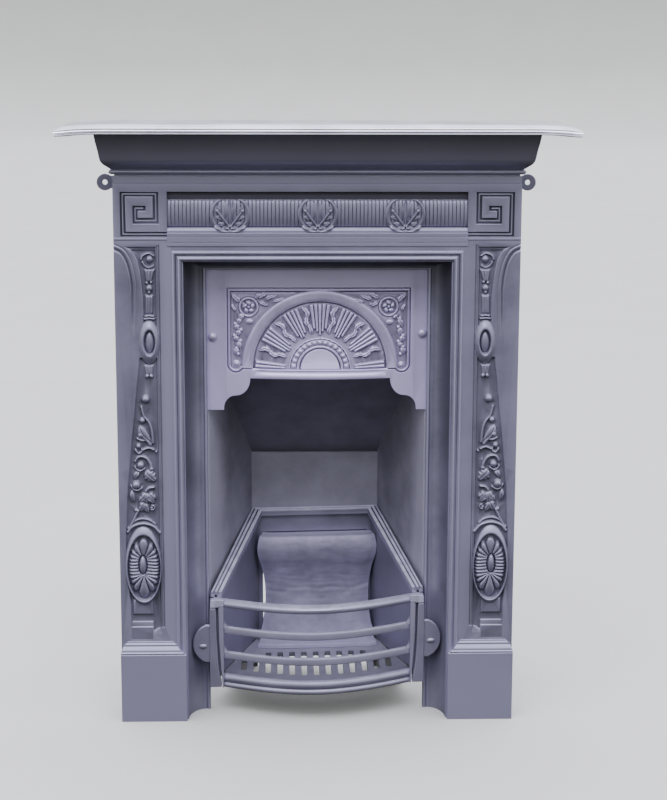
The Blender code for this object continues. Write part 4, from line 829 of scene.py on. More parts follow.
def arc(x, z, wide, high, start, end, steps):
    """Points on part of an ellipse, with the angles in quarter turns."""
    angles = [math.pi / 2 * (start + (end - start) * k / steps) for k in range(steps + 1)]
    return [(x + wide * math.cos(a), z + high * math.sin(a)) for a in angles]


# %% The hood's plate
LEG, STEP, EDGE = 0.1490, 0.1310, 0.1080
half = [(HOOD_HALF, HOOD_TOP), (HOOD_HALF, HOOD_LEG), (LEG, HOOD_LEG)]
half += arc(STEP, 0.4882, LEG - STEP, 0.0200, 0, 1, 8)
half += arc(STEP, HOOD_EDGE, STEP - EDGE, 0.0278, 3, 2, 8)[1:]
hood_outline = [(HOOD_X + x, z) for x, z in half] + [(HOOD_X - x, z) for x, z in half[::-1]]
lobe = FRAME_HALF - LOBE_R
pocket_half = [(FRAME_HALF, FRAME_TOP)] + arc(lobe, LOBE_Z, LOBE_R, LOBE_R, 0, -1.62, 14) + [(0.1165, FRAME_LOW)]
pocket_outline = [(FRAME_X + x, z) for x, z in pocket_half] + [(FRAME_X - x, z) for x, z in pocket_half[::-1]]
hood_plate = flat_plate("hood_plate", hood_outline, HOOD_THICK, 0.0)
cut(hood_plate, flat_plate("hood pocket", pocket_outline, POCKET, -0.01))
soften(hood_plate, 0.0009, 2)
planes = [((HOOD_X + 0.1460 * k / 12, 0, 0), (1, 0, 0)) for k in range(-12, 13)]
planes += [((0, 0, FRAME_TOP - (FRAME_TOP - HOOD_EDGE) * k / 6), (0, 0, 1)) for k in range(6)]


def lay_planes(obj, back_only=False):
    """Cuts edges through a flat piece, or through its back alone, so that it can bend there."""
    only(obj)
    bpy.ops.object.mode_set(mode="EDIT")
    bpy.ops.mesh.select_mode(type="FACE")
    for place, normal in planes:
        bpy.ops.mesh.select_all(action="DESELECT" if back_only else "SELECT")
        if back_only:
            work = bmesh.from_edit_mesh(obj.data)
            for face in work.faces:
                face.select_set(face.normal.y > 0.999)
            bmesh.update_edit_mesh(obj.data)
        bpy.ops.mesh.bisect(plane_co=place, plane_no=normal)
    bpy.ops.object.mode_set(mode="OBJECT")
    return obj


lay_planes(hood_plate)
print("hood plate", len(hood_plate.data.polygons), "faces")

# %% The frame of the sunk field
hood = Field(-144, 150, 541, 681, 0.45, -1.0)
closed_line = [(1000 * x, 1000 * z) for x, z in pocket_outline + pocket_outline[:1]]
gap, along = to_line(hood.x, hood.z, closed_line)
side_of = np.abs(hood.x - 1000 * FRAME_X)
in_lobe = np.hypot(side_of - 1000 * lobe, hood.z - 1000 * LOBE_Z) < 1000 * LOBE_R
in_box = (side_of < 1000 * FRAME_HALF) & (hood.z < 1000 * FRAME_TOP) & (hood.z > 1000 * LOBE_Z)
in_strip = (side_of < 117) & (hood.z > 1000 * FRAME_LOW) & (hood.z <= 1000 * LOBE_Z)
inset = np.where(in_lobe | in_box | in_strip, gap, -gap)
FIELD_FLOOR = -2.6
hood.h = np.where(inset > 0, FIELD_FLOOR, -1.0)
hood.h = np.where(inset > 0, np.maximum(hood.h, -2.4 + 2.6 * np.sqrt(np.clip(1 - ((inset - 3.6) / 2.0) ** 2, 0, 1))), hood.h)
hood.h = np.where(inset > 0, hood.h - 0.5 * np.exp(-((inset - 7.2) / 1.1) ** 2), hood.h)

# %% The arch and its fan
FAN_X, FAN_Z = 4.5, 552.0
dx, dz = hood.x - FAN_X, hood.z - FAN_Z
r = np.hypot(dx, dz)
tilt = np.degrees(np.arctan2(dx, np.maximum(dz, 0.001)))
above = (dz > -0.6) & (inset > 1.5)
fan_floor = -3.1 + 1.7 * np.exp(-np.clip(r - 46, 0, 99) / 14)
hood.h = np.where(above & (r < 103), fan_floor, hood.h)
for group, flutes in zip((-86, -57, -28, 0, 28, 57, 86), (2, 4, 4, 5, 4, 4, 2)):
    for k in range(flutes):
        middle = group + (k - (flutes - 1) / 2) * 3.9
        if abs(group) == 86:
            middle = math.copysign(86.2, group) + (k - 0.5) * 3.6
        start = 50 + 5 * abs(k - (flutes - 1) / 2)
        v = (tilt - middle) / 1.9
        rise = np.sqrt(np.clip(1 - v ** 2, 0, 1)) * slope(r - start, 4) * slope(100.4 - r, 1.6)
        flute = fan_floor + (3.4 + 0.5 * (r - 60) / 40) * rise
        hood.h = np.where(above & (np.abs(v) < 1), np.maximum(hood.h, flute), hood.h)
for group in (-71.5, -43, -14.5, 14.5, 43, 71.5):
    a = math.radians(90 - group)
    lean = math.copysign(1.0, group)
    for low, high, off, wide in ((54, 74, 2.6, 3.4), (66, 86, -3.8, 4.0), (79, 99, 4.0, 4.4)):
        base = (FAN_X + low * math.cos(a) - lean * off * 0.4 * math.sin(a), FAN_Z + low * math.sin(a) + lean * off * 0.4 * math.cos(a))
        tip = (FAN_X + high * math.cos(a) + lean * off * math.sin(a), FAN_Z + high * math.sin(a) - lean * off * math.cos(a))
        leaf(hood, base, tip, wide * 1.15, -3.2, 1.2, 1.5, lean * off * 0.8, 2)
arch = (r > 102) & (r < 121) & above
crest = np.sqrt(np.clip(1 - (np.abs(r - 111.5) / 9.5) ** 3.2, 0, 1))
hood.h = np.where(arch, np.maximum(np.where(inset < 8, hood.h, -9), FIELD_FLOOR + 3.5 * crest), hood.h)
hood.h = np.where(above & (np.abs(r - 101.6) < 1.5), np.minimum(hood.h, -3.2), hood.h)

# %% The beaded hub
hub = above & (r < 48)
hood.h = np.where(hub, -1.3, hood.h)
hood.h = np.where(hub & (r > 45.6), -1.3 + 0.9 * np.sin(math.pi * np.clip((r - 45.6) / 2.4, 0, 1)), hood.h)
for groove, half_width in ((45.3, 0.9), (36.6, 0.8), (30.9, 0.9)):
    hood.h = np.where(hub & (np.abs(r - groove) < half_width), -2.6, hood.h)
hood.h = np.where(hub & (np.abs(r - 34.0) < 2.1), -1.3 + 1.4 * np.sqrt(np.clip(1 - ((r - 34.0) / 2.1) ** 2, 0, 1)), hood.h)
hood.h = np.where(hub & (r < 30.0), -2.2 + 3.2 * (1 - np.clip(dz, 0, 30) / 30), hood.h)
for k in range(15):
    a = math.pi * (k + 0.5) / 15
    dome(hood, FAN_X + 41.0 * math.cos(a), FAN_Z + 41.0 * math.sin(a), 3.5, 3.5, -1.9, 0.5)

# %% The corner flowers and what falls from them
for side, x, z in ((-1, -105.2, 646.4), (1, 110.5, 646.9)):
    ring = np.hypot(hood.x - x, hood.z - z)
    hood.h = np.where(ring < 16.4, FIELD_FLOOR - 0.5, hood.h)
    hood.h = np.where(np.abs(ring - 13.8) < 2.0, FIELD_FLOOR + 2.5 * np.sqrt(np.clip(1 - ((ring - 13.8) / 2.0) ** 2, 0, 1)), hood.h)
    for k in range(5):
        a = math.pi / 2 + 2 * math.pi * k / 5
        dome(hood, x + 6.3 * math.cos(a), z + 6.3 * math.sin(a), 4.4, 3.2, FIELD_FLOOR - 0.5, 0.1, a + 1.0)
    dome(hood, x, z, 2.4, 2.4, FIELD_FLOOR, 0.4)
corner_leaves = (
    (-118.5, 654.5, -131.0, 667.5, 4.0), (-88.5, 668.0, -96.0, 659.5, 2.6), (124.0, 654.5, 137.0, 666.5, 4.0),
    (-91.0, 661.0, -76.0, 668.0, 3.6), (-80.0, 659.0, -62.5, 664.5, 3.2), (-68.0, 654.5, -47.5, 660.0, 2.6),
    (96.0, 661.0, 81.0, 668.0, 3.6), (85.0, 659.0, 67.5, 664.5, 3.2), (73.0, 654.5, 52.5, 660.0, 2.6),
    (-89.0, 655.0, -77.0, 648.0, 3.0), (94.0, 655.0, 82.0, 648.0, 3.0),
    (-124.5, 640.0, -131.0, 652.0, 2.4), (130.0, 640.0, 136.5, 652.0, 2.4),
)
for x0, z0, x1, z1, wide in corner_leaves:
    leaf(hood, (x0, z0), (x1, z1), wide * 1.35, FIELD_FLOOR - 0.4, 0.9, 1.2, 0.6, 2)
for x, z, size in ((-77.3, 649.9, 2.2), (82.6, 651.3, 2.2), (-104.1, 624.4, 5.2), (112.5, 623.3, 5.2)):
    dome(hood, x, z, size * 1.15, size * 0.85, FIELD_FLOOR, 0.4)
falling = {
    -1: ((-112.0, 632.5), (-118.4, 628.3), (-123.7, 619.0), (-119.4, 609.6), (-125.0, 600.9), (-120.6, 592.5),
         (-121.8, 580.8), (-124.2, 572.2)),
    1: ((118.5, 632.5), (125.9, 627.3), (128.1, 613.9), (130.7, 600.4), (128.4, 591.0), (130.8, 582.6),
        (131.6, 571.6)),
}
for side, chain in falling.items():
    stem(hood, chain, 1.3, 1.0, FIELD_FLOOR, -0.6)
    for k, ((x0, z0), (x1, z1)) in enumerate(zip(chain, chain[1:])):
        swing = 3.4 if k % 2 else -3.4
        leaf(hood, (x0, z0 + 1.0), (x1 + swing, z1 + 1.0), 4.6, FIELD_FLOOR, 1.0, 0.7, side * 0.8)
        dome(hood, x1 - swing * 0.7, z1 + 1.5, 2.8, 3.2, FIELD_FLOOR, 0.6)
for x, z in ((-124.7, 558.5), (130.7, 555.9)):
    dome(hood, x, z, 5.2, 5.2, FIELD_FLOOR, -1.0)
    dome(hood, x, z, 2.6, 2.6, FIELD_FLOOR, 0.2)
hood.blur(1)
hood_field = lay_planes(carved("hood_field", hood, 0.0042, 0.24), back_only=True)

# %% The rounded lip, and the hood as one bowed casting
lip_line = [(0.0010, 0.5362), (-0.0010, 0.5364), (-0.0022, 0.5378), (-0.0026, 0.5400), (-0.0024, 0.5428),
            (-0.0012, 0.5452), (0.0002, 0.5466), (0.0004, 0.5476), (-0.0006, 0.5486), (-0.0014, 0.5496),
            (-0.0012, 0.5508), (0.0006, 0.5516), (0.0026, 0.5500)]
lip_rings = []
for k in range(25):
    x = HOOD_X - 0.1050 + 0.2100 * k / 24
    fade = slope(0.1050 - abs(x - HOOD_X), 0.0160)
    lip_rings.append([(x, y * fade + 0.0008 * (1 - fade) if y < 0 else y, z) for y, z in lip_line])
lip = soften(pull("hood_lip", lip_rings), 0)
hood_casting = joined("hood_casting", [bowed(hood_plate), bowed(hood_field), bowed(lip)])
soften(hood_casting, 0)
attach(hood_casting, "root")
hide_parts("hood")

# %% [markdown]
# ## The two hood screws
#
# Round-headed screws with no slot left to see under the paint. Each head is a disc drawn out
# ring by ring, with its rings on a circle section.

# %% The screws
SCREW_R, SCREW_HIGH = 0.0062, 0.0048
screws = []
for name, x, z in (("hood_screw_left", -0.1607, 0.6005), ("hood_screw_right", 0.1626, 0.6055)):
    foot = HOOD_FRONT - 0.0011 - bow_of(x, z)
    rings = []
    for k in range(9):
        a = math.pi / 2 * max(k - 1, 0) / 7.4
        lift = 0.0 if k == 0 else 0.0009 + (SCREW_HIGH - 0.0009) * math.sin(a)
        reach = SCREW_R * math.cos(a)
        rings.append([(x + reach * math.cos(math.pi * n / 14), foot - lift, z + reach * math.sin(math.pi * n / 14))
                      for n in range(28)])
    head = soften(pull(name + "_head", rings), 0)
    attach(head, "root")
    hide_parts(name)
    screws.append(head)
print("screws", len(screws))

# %% [markdown]
# ## The firebox
#
# Behind the opening two cheeks narrow towards the fireback, and above the fire a curved plate
# leans forward to the throat. The shell is a block with the room inside it cut out.

# %% Sizes of the firebox
CHEEK_FRONT, CHEEK_BACK, BOX_FRONT, BOX_BACK = 0.1680, 0.1055, 0.0620, 0.2435
BOX_WALL, BOX_TOP, FIREBACK_TOP = 0.0060, 0.5520, 0.3745
BACK_OPEN, BACK_OPEN_TOP = 0.0962, 0.2360


def plan_block(name, front_half, back_half, front, back, low, high):
    """A block whose plan narrows from the front to the back."""
    plan = [(-front_half, front), (front_half, front), (back_half, back), (-back_half, back)]
    return pull(name, [[(x, y, z) for x, y in plan] for z in (low, high)])


def side_block(name, profile, reach):
    """A profile in Y and Z, run across the whole width."""
    return pull(name, [[(x, y, z) for y, z in profile] for x in (-reach, reach)])


def throat_line(offset, steps=18):
    """The curved plate that leans forward from the fireback to the flue."""
    line = []
    for k in range(steps + 1):
        share = k / steps
        a = math.radians(30 + 35 * share)
        line.append((0.2480 - 0.1480 * share ** 0.92 + offset * math.cos(a),
                     0.3760 + 0.1540 * share ** 0.80 + offset * math.sin(a)))
    return line


def common(obj, tool):
    """Keeps only what lies in both."""
    only(obj)
    modifier = obj.modifiers.new("common", "BOOLEAN")
    modifier.operation = "INTERSECT"
    modifier.object = tool
    bpy.ops.object.modifier_apply(modifier=modifier.name)
    bpy.data.objects.remove(tool, do_unlink=True)
    return obj


# %% The shell of the firebox
narrowing = (CHEEK_FRONT - CHEEK_BACK) / (BOX_BACK - BOX_FRONT)
outer = throat_line(BOX_WALL)
box_side = [(BOX_FRONT, 0.0), (BOX_FRONT, BOX_TOP), (outer[-1][0] - 0.001, BOX_TOP), *outer[::-1],
            (BOX_BACK + BOX_WALL, FIREBACK_TOP), (BOX_BACK + BOX_WALL, 0.0)]
firebox = side_block("firebox_casting", box_side, 0.2)
back_half = CHEEK_FRONT + BOX_WALL - narrowing * (BOX_BACK + BOX_WALL - BOX_FRONT)
common(firebox, plan_block("outside", CHEEK_FRONT + BOX_WALL, back_half, BOX_FRONT, BOX_BACK + BOX_WALL, -0.01, 0.6))
inner = throat_line(0.0)
room_side = [(0.0400, -0.0100), (0.0400, 0.6000), (inner[-1][0], 0.6000), *inner[::-1],
             (BOX_BACK + 0.0020, FIREBACK_TOP + 0.0004), (BOX_BACK, FIREBACK_TOP), (BOX_BACK, -0.0100)]
room = side_block("room", room_side, 0.25)
more = narrowing * 0.02
common(room, plan_block("inside", CHEEK_FRONT + more, CHEEK_BACK - more, BOX_FRONT - 0.02, BOX_BACK + 0.02, -0.02, 0.7))
cut(firebox, room)
way_out = [(-BACK_OPEN, -0.01), (BACK_OPEN, -0.01), (BACK_OPEN, BACK_OPEN_TOP), (-BACK_OPEN, BACK_OPEN_TOP)]
cut(firebox, flat_plate("way out", way_out, 0.2700, 0.2350))
toe = [(0.0500, -0.0100), (0.0500, 0.0520), (0.0800, 0.0460), (0.1150, 0.0300), (0.1500, 0.0100), (0.1620, -0.0100)]
cut(firebox, side_block("toe", toe, 0.25))
soften(firebox, 0.0008)
edge = [(0.1688, 0.0535), (0.1738, 0.0535), (0.1738, 0.4846), (0.1688, 0.4846)]
flange = soften(flat_plate("flange", edge, 0.0630, 0.0567), 0.0006)
firebox = joined("firebox_casting", [firebox, flange, other_side(flange)])
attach(firebox, "root")
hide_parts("firebox")
print("firebox", len(firebox.data.polygons), "faces")

# %% [markdown]
# ## The fire basket
#
# A sloping rim with two grooves runs round three sides, on thin walls. In front stand two
# strips with an ear each, which hold the bars. The whole basket sits a little askew: its
# right side is higher than its left, and so is all that lies in it.

# %% Sizes of the basket
ASKEW = 0.0200
RIM_FRONT, RIM_BACK, RIM_WIDTH = 0.0370, 0.2420, 0.0170
RIM_LOW, RIM_SLOPE, RIM_SPREAD, RIM_TAPER = 0.2005, 0.398, 0.1672, 0.3034
WALL_OUT, WALL_IN, BASKET_FOOT, BASKET_BACK = 0.0055, 0.0105, 0.0610, 0.2425
STRIP_OUT, STRIP_TOP, STRIP_FOOT = 0.1690, 0.1785, 0.0485


def askew(obj):
    """Leans a finished piece of the basket."""
    for vertex in obj.data.vertices:
        vertex.co.z += ASKEW * vertex.co.x
    obj.data.update()
    return obj


def rim_at(y):
    return RIM_SPREAD - (y - RIM_FRONT) * RIM_TAPER


def wall_at(y):
    front, back = rim_at(RIM_FRONT) - WALL_IN, rim_at(RIM_BACK) - WALL_IN
    return front + (back - front) * (y - RIM_FRONT) / (RIM_BACK - WALL_IN - RIM_FRONT)


def basket_run(name, profile, foot=None):
    """A section of (distance in, rise) from one front end round the back to the other."""
    rings = []
    for end in (RIM_FRONT, RIM_BACK):
        ring = []
        for inwards, rise in profile:
            y = end - inwards if end == RIM_BACK else end
            height = RIM_LOW + (end - RIM_FRONT) * RIM_SLOPE + (rise or 0.0)
            ring.append((-(rim_at(end) - inwards), y, foot if rise is None else height))
        rings.append(ring)
    return pull(name, rings + [[(-x, y, z) for x, y, z in ring] for ring in reversed(rings)])


def upright(name, levels, front, back):
    """A post with its own inner and outer edge at each height."""
    return pull(name, [[(x0, front, z), (x1, front, z), (x1, back, z), (x0, back, z)] for x0, x1, z in levels])


# %% Rim, walls, strips and ears
rim_line = [(0.0000, -0.0080), (0.0000, -0.0008), (0.0008, 0.0000), (0.0022, 0.0005), (0.0036, 0.0004),
            (0.0042, -0.0006), (0.0049, -0.0034), (0.0056, -0.0006), (0.0060, 0.0003), (0.0078, 0.0005),
            (0.0096, 0.0001), (0.0102, -0.0010), (0.0109, -0.0038), (0.0116, -0.0012), (0.0120, -0.0004),
            (0.0138, -0.0003), (0.0156, -0.0010), (0.0165, -0.0018), (RIM_WIDTH, -0.0032), (RIM_WIDTH, -0.0100)]
basket_parts = [soften(basket_run("rim", rim_line), 0)]
walls = basket_run("walls", [(WALL_OUT, None), (WALL_OUT, -0.0040), (WALL_IN, -0.0040), (WALL_IN, None)], BASKET_FOOT)
gate = [(-0.0868, 0.0), (0.0868, 0.0), (0.0868, BASKET_BACK), (-0.0868, BASKET_BACK)]
cut(walls, flat_plate("gate", gate, 0.2600, 0.2200))
basket_parts.append(soften(walls, 0.0008))
strip_levels = [(0.1503, STRIP_OUT, STRIP_FOOT), (0.1510, STRIP_OUT, 0.0560), (0.1528, STRIP_OUT, 0.0650),
                (0.1545, STRIP_OUT, 0.0740), (0.1562, STRIP_OUT, 0.0950), (0.1575, STRIP_OUT, 0.1200),
                (0.1584, STRIP_OUT, 0.1480), (0.1588, STRIP_OUT, 0.1740), (0.1600, STRIP_OUT - 0.0012, STRIP_TOP)]
strip_casting = soften(upright("strip", strip_levels, 0.0200, 0.0340), 0.0016, 3, 40)
tie = soften(upright("tie", [(0.1520, 0.1662, 0.0640), (0.1520, 0.1662, STRIP_TOP - 0.001)], 0.0330, 0.0400), 0.0006)
ear_outline = [(0.1620, 0.0900)] + arc(0.1640, 0.1195, 0.0312, 0.0325, -0.78, 0.78, 24) + [(0.1620, 0.1495)]
ear = soften(flat_plate("ear", ear_outline, 0.0300, 0.0226), 0.0016, 3)
boss = pull("boss", [[(0.1795 + 0.0066 * share * math.cos(math.pi * k / 12), 0.0240 - lift,
                       0.1160 + 0.0038 * share * math.sin(math.pi * k / 12)) for k in range(24)]
                     for share, lift in ((1.0, 0.0), (0.97, 0.0016), (0.86, 0.0029), (0.64, 0.0038), (0.34, 0.0043),
                                         (0.10, 0.0044))])
soften(boss, 0)
for part in (strip_casting, tie, ear, boss):
    basket_parts += [part, other_side(part)]
basket = askew(joined("fire_basket_casting", basket_parts))
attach(basket, "root")
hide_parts("fire_basket")

# %% [markdown]
# ## The front bars
#
# Four bars bow forward between two end posts: a broad rounded top bar, two plain bars, and a
# moulded one at the foot. Each is one section carried along the same bow.

# %% The bowed bars
BAR_HALF, BAR_END, BAR_BOW = 0.1485, 0.0280, 0.0480


def bar_line(x, setback=0.0):
    """Depth of the bars at a distance from the middle."""
    t = x / BAR_HALF
    bulge = 0.82 * (1 - t * t) + 0.18 * (0.5 + 0.5 * math.cos(math.pi * min(abs(t), 1.0)))
    return BAR_END - BAR_BOW * bulge + setback


def bowed_bar(name, section, reach=BAR_HALF, steps=28):
    """A section of (setback, height) carried along the bow from end to end."""
    places = [-reach + 2 * reach * k / steps for k in range(steps + 1)]
    return soften(pull(name, [[(x, bar_line(x, back), z) for back, z in section] for x in places]), 0)


top_section = smooth_line([(0.0000, 0.1835), (0.0006, 0.1790), (0.0060, 0.1760), (0.0160, 0.1780), (0.0206, 0.1810),
                           (0.0206, 0.1852), (0.0150, 0.1884), (0.0080, 0.1880), (0.0025, 0.1862), (0.0000, 0.1835)], 3)[:-1]
plain_section = [(0.0000, 0.0000), (0.0000, -0.0070), (0.0008, -0.0090), (0.0026, -0.0099), (0.0062, -0.0099),
                 (0.0076, -0.0090), (0.0080, -0.0076), (0.0080, 0.0010), (0.0068, 0.0022), (0.0030, 0.0025),
                 (0.0010, 0.0018)]
foot_section = [(0.0000, 0.0640), (-0.0006, 0.0614), (-0.0002, 0.0590), (0.0012, 0.0570), (0.0026, 0.0556),
                (0.0027, 0.0540), (0.0012, 0.0532), (0.0000, 0.0518), (-0.0002, 0.0498), (0.0006, 0.0474),
                (0.0022, 0.0458), (0.0048, 0.0452), (0.0102, 0.0452), (0.0110, 0.0460), (0.0110, 0.0656),
                (0.0102, 0.0665), (0.0040, 0.0667), (0.0012, 0.0658)]
bar_parts = [bowed_bar("top_bar", top_section, 0.1500), bowed_bar("foot_bar", foot_section)]
for top in (0.1440, 0.1030):
    bar_parts.append(bowed_bar("plain_bar", [(back, top + rise) for back, rise in plain_section]))
shoulder = pull("shoulder", [
    [(0.1460, 0.0260, 0.1795), (0.1460, 0.0360, 0.1795), (0.1460, 0.0360, 0.1900), (0.1460, 0.0260, 0.1900)],
    [(0.1600, 0.0185, 0.1792), (0.1600, 0.0362, 0.1792), (0.1600, 0.0362, 0.1925), (0.1600, 0.0215, 0.1925)],
    [(0.1680, 0.0185, 0.1795), (0.1680, 0.0362, 0.1795), (0.1680, 0.0362, 0.1905), (0.1680, 0.0225, 0.1905)]])
post = upright("post", [(0.1470, 0.1492, 0.0460), (0.1470, 0.1508, 0.0740), (0.1470, 0.1541, 0.1200),
                        (0.1470, 0.1552, 0.1820)], 0.0235, 0.0300)
ends = [soften(shoulder, 0.0014, 3, 20), soften(post, 0.0007)]
for top in (0.1440, 0.1030):
    x, y, near = BAR_HALF - 0.0006, bar_line(BAR_HALF - 0.004), bar_line(BAR_HALF - 0.014)
    gusset = []
    for back in (0.0, 0.004):
        hollow = [(x - 0.0125 + 0.0105 * s, near + (y - near) * s + 0.001 + back, top + 0.0008 + 0.0105 * s ** 2.4)
                  for s in (0.0, 0.35, 0.6, 0.8, 1.0)]
        gusset.append([(x, y + back, top - 0.001), *hollow[::-1]])
    ends.append(soften(pull("gusset", gusset), 0.0004))
for part in ends:
    bar_parts += [part, other_side(part)]
bars = askew(joined("front_bars_casting", bar_parts))
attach(bars, "root")
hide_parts("front_bars")

# %% [markdown]
# ## The bottom grate and the back brick
#
# The grate is a flat plate with slots, shaped to the basket's walls and to the bow of the bars.
# The brick behind the fire is moulded clay, hollowed in the middle, and painted with the iron.
# Its skin is uneven, which a little noise in its own mesh gives.

# %% The bottom grate
GRATE_TOP, GRATE_THICK = 0.0600, 0.0080
SLOT_COUNT, SLOT_PITCH, SLOT_WIDTH, SLOT_BACK = 13, 0.0194, 0.0090, 0.1470
grate_low, grate_high = GRATE_TOP - GRATE_THICK, GRATE_TOP
grate_front = [(x, bar_line(x, 0.0128)) for x in np.linspace(-0.1440, 0.1440, 29)]
grate_side = [(wall_at(y) - 0.0006, y) for y in (0.0660, 0.2280)]
grate_plan = grate_front + grate_side + [(-x, y) for x, y in reversed(grate_side)]
grate = pull("bottom_grate_casting", [[(x, y, z) for x, y in grate_plan] for z in (grate_low, grate_high)])
slots = []
for k in range(SLOT_COUNT):
    x = (k - (SLOT_COUNT - 1) / 2) * SLOT_PITCH
    reach = SLOT_WIDTH / 2
    start, end = bar_line(x, 0.0530), 0.1220 if abs(x) > 0.0900 else SLOT_BACK
    ring = arc(x, end - reach, reach, reach, 0, 2, 8) + arc(x, start + reach, reach, reach, 2, 4, 8)
    slots.append(pull("slot", [[(u, v, z) for u, v in ring] for z in (grate_low - 0.002, grate_high + 0.002)]))
cut(grate, joined("slots", slots))
askew(soften(grate, 0.0008))
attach(grate, "root")
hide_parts("bottom_grate")

# %% The back brick
BRICK_X, SCORCHED = 0.0035, 0.155
brick_wall = RIM_BACK - WALL_IN - 0.0005


def brick_ring(z, reach, front):
    """One level of the brick, with its rounded front corners."""
    rear = min(reach, wall_at(brick_wall) - BRICK_X - 0.0005)
    ring = []
    for k in range(41):
        s = -1 + 2 * k / 40
        ring.append((BRICK_X + reach * s, front + 0.0050 * abs(s) ** 9 - 0.0010 * (1 - s * s), z))
    depths = (0.25, 0.5, 0.75, 1.0)
    right = [(reach + (rear - reach) * t, front + 0.0050 + (brick_wall - front - 0.0050) * t) for t in depths]
    ring += [(BRICK_X + x, y, z) for x, y in right]
    return ring + [(BRICK_X - x, y, z) for x, y in reversed(right)]


body_levels = smooth_line([
    (0.0676, 0.0970, 0.2010), (0.0740, 0.0955, 0.2020), (0.0900, 0.0905, 0.2060), (0.1150, 0.0868, 0.2110),
    (0.1400, 0.0862, 0.2140), (0.1640, 0.0880, 0.2130), (0.1860, 0.0920, 0.2080), (0.2040, 0.0970, 0.2010),
    (0.2200, 0.0992, 0.1985), (0.2320, 0.0978, 0.2010), (0.2395, 0.0958, 0.2050), (0.2412, 0.0945, 0.2090)], 9)
body = pull("brick body", [brick_ring(*level) for level in body_levels])
foot = pull("brick foot", [brick_ring(z, reach, front) for z, reach, front in (
    (0.0606, 0.0985, 0.1640), (0.0650, 0.0985, 0.1640), (0.0668, 0.0979, 0.1648), (0.0674, 0.0970, 0.1664))])
for part in (body, foot):
    for vertex in part.data.vertices:
        if vertex.co.y < FACE + brick_wall - 0.002:
            rough = mathutils.noise.fractal(vertex.co * 90, 1.0, 2.0, 4)
            streaks = mathutils.noise.fractal((vertex.co.x * 30, 0.0, vertex.co.z * 170), 1.0, 2.0, 3)
            scorched = math.exp(-((vertex.co.z - SCORCHED) / 0.032) ** 2)
            vertex.co.y += 0.0005 * rough + 0.0010 * scorched * streaks
    soften(part, 0)
brick = askew(joined("back_brick_clay", [body, foot]))
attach(brick, "root")
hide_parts("back_brick")

# %% [markdown]
# ## Satin grate paint
#
# Every piece carries the same paint, a satin graphite black, but sand-cast iron under it is
# never even. Three effects are built once as node groups: the grain of the casting, a painted
# highlight on the crests, which a brush and a cloth also rub bright, with painted shade in the
# hollows, and dust on what faces up, lighter and bluer so that it also paints light on the
# tops. They put out masks and heights alone, and each piece mixes them with values of its own.
# Each piece's colour is the one paint made lighter or darker, as painted light and shade.


# %% Putting nodes together
def put(tree, kind, settings=None, **inputs):
    """A node with its settings, and with each named input linked or set."""
    made = tree.nodes.new(kind)
    for name, value in (settings or {}).items():
        setattr(made, name, value)
    for name, value in inputs.items():
        socket = made.inputs[name.replace("_", " ")]
        if isinstance(value, bpy.types.NodeSocket):
            tree.links.new(value, socket)
        else:
            socket.default_value = value
    return made


def maths(tree, operation, *values):
    """A Math node that takes its values in order."""
    made = tree.nodes.new("ShaderNodeMath")
    made.operation = operation
    for socket, value in zip(made.inputs, values):
        if isinstance(value, bpy.types.NodeSocket):
            tree.links.new(value, socket)
        else:
            socket.default_value = value
    return made.outputs[0]


def mixed(tree, share, one, other):
    """One colour mixed towards another."""
    made = tree.nodes.new("ShaderNodeMix")
    made.data_type = "RGBA"
    for socket, value in zip((made.inputs[0], made.inputs[6], made.inputs[7]), (share, one, other)):
        if isinstance(value, bpy.types.NodeSocket):
            tree.links.new(value, socket)
        else:
            socket.default_value = value
    return made.outputs[2]


def new_group(name, inputs, outputs):
    """An empty shader group with named sockets, and its two end nodes."""
    group = bpy.data.node_groups.new(name, "ShaderNodeTree")
    for label, value in inputs.items():
        group.interface.new_socket(name=label, in_out="INPUT", socket_type="NodeSocketFloat").default_value = value
    for label in outputs:
        group.interface.new_socket(name=label, in_out="OUTPUT", socket_type="NodeSocketFloat")
    return group, group.nodes.new("NodeGroupInput"), group.nodes.new("NodeGroupOutput")


# %% The grain of sand-cast iron
grain_group, into, out = new_group("cast grain", {"Grain Scale": 800.0, "Lump Scale": 150.0, "Lump Share": 0.5},
                                   ("Height", "Mottle"))
coordinates = put(grain_group, "ShaderNodeTexCoord")
place = coordinates.outputs["Object"]
fine = put(grain_group, "ShaderNodeTexNoise", Vector=place, Scale=into.outputs["Grain Scale"], Detail=3.0)
lumps = put(grain_group, "ShaderNodeTexNoise", Vector=place, Scale=into.outputs["Lump Scale"], Detail=2.0)
height = put(grain_group, "ShaderNodeMix", Factor=into.outputs["Lump Share"], A=fine.outputs["Fac"],
             B=lumps.outputs["Fac"])
clouds = put(grain_group, "ShaderNodeTexNoise", Vector=place, Scale=11.0, Detail=5.0, Roughness=0.62)
mottle = put(grain_group, "ShaderNodeMapRange", Value=clouds.outputs["Fac"], From_Min=0.32, From_Max=0.68)
grain_group.links.new(height.outputs[0], out.inputs["Height"])
grain_group.links.new(mottle.outputs[0], out.inputs["Mottle"])

# %% A painted highlight on crests, and painted shade in hollows
crest_highlight_hollow_shade_group, into, out = new_group("crest highlight and hollow shade", {"Softness": 0.08}, ("Crest Highlight", "Hollow Shade"))
shape = put(crest_highlight_hollow_shade_group, "ShaderNodeNewGeometry")
# Pointiness marks the crests for a painted highlight and the hollows for painted shade.
bend = maths(crest_highlight_hollow_shade_group, "SUBTRACT", shape.outputs["Pointiness"], 0.5)
crest = maths(crest_highlight_hollow_shade_group, "DIVIDE", bend, into.outputs["Softness"])
hollow = maths(crest_highlight_hollow_shade_group, "MULTIPLY", crest, -1.0)
for value, label in ((crest, "Crest Highlight"), (hollow, "Hollow Shade")):
    kept = put(crest_highlight_hollow_shade_group, "ShaderNodeClamp", Value=value)
    crest_highlight_hollow_shade_group.links.new(kept.outputs[0], out.inputs[label])
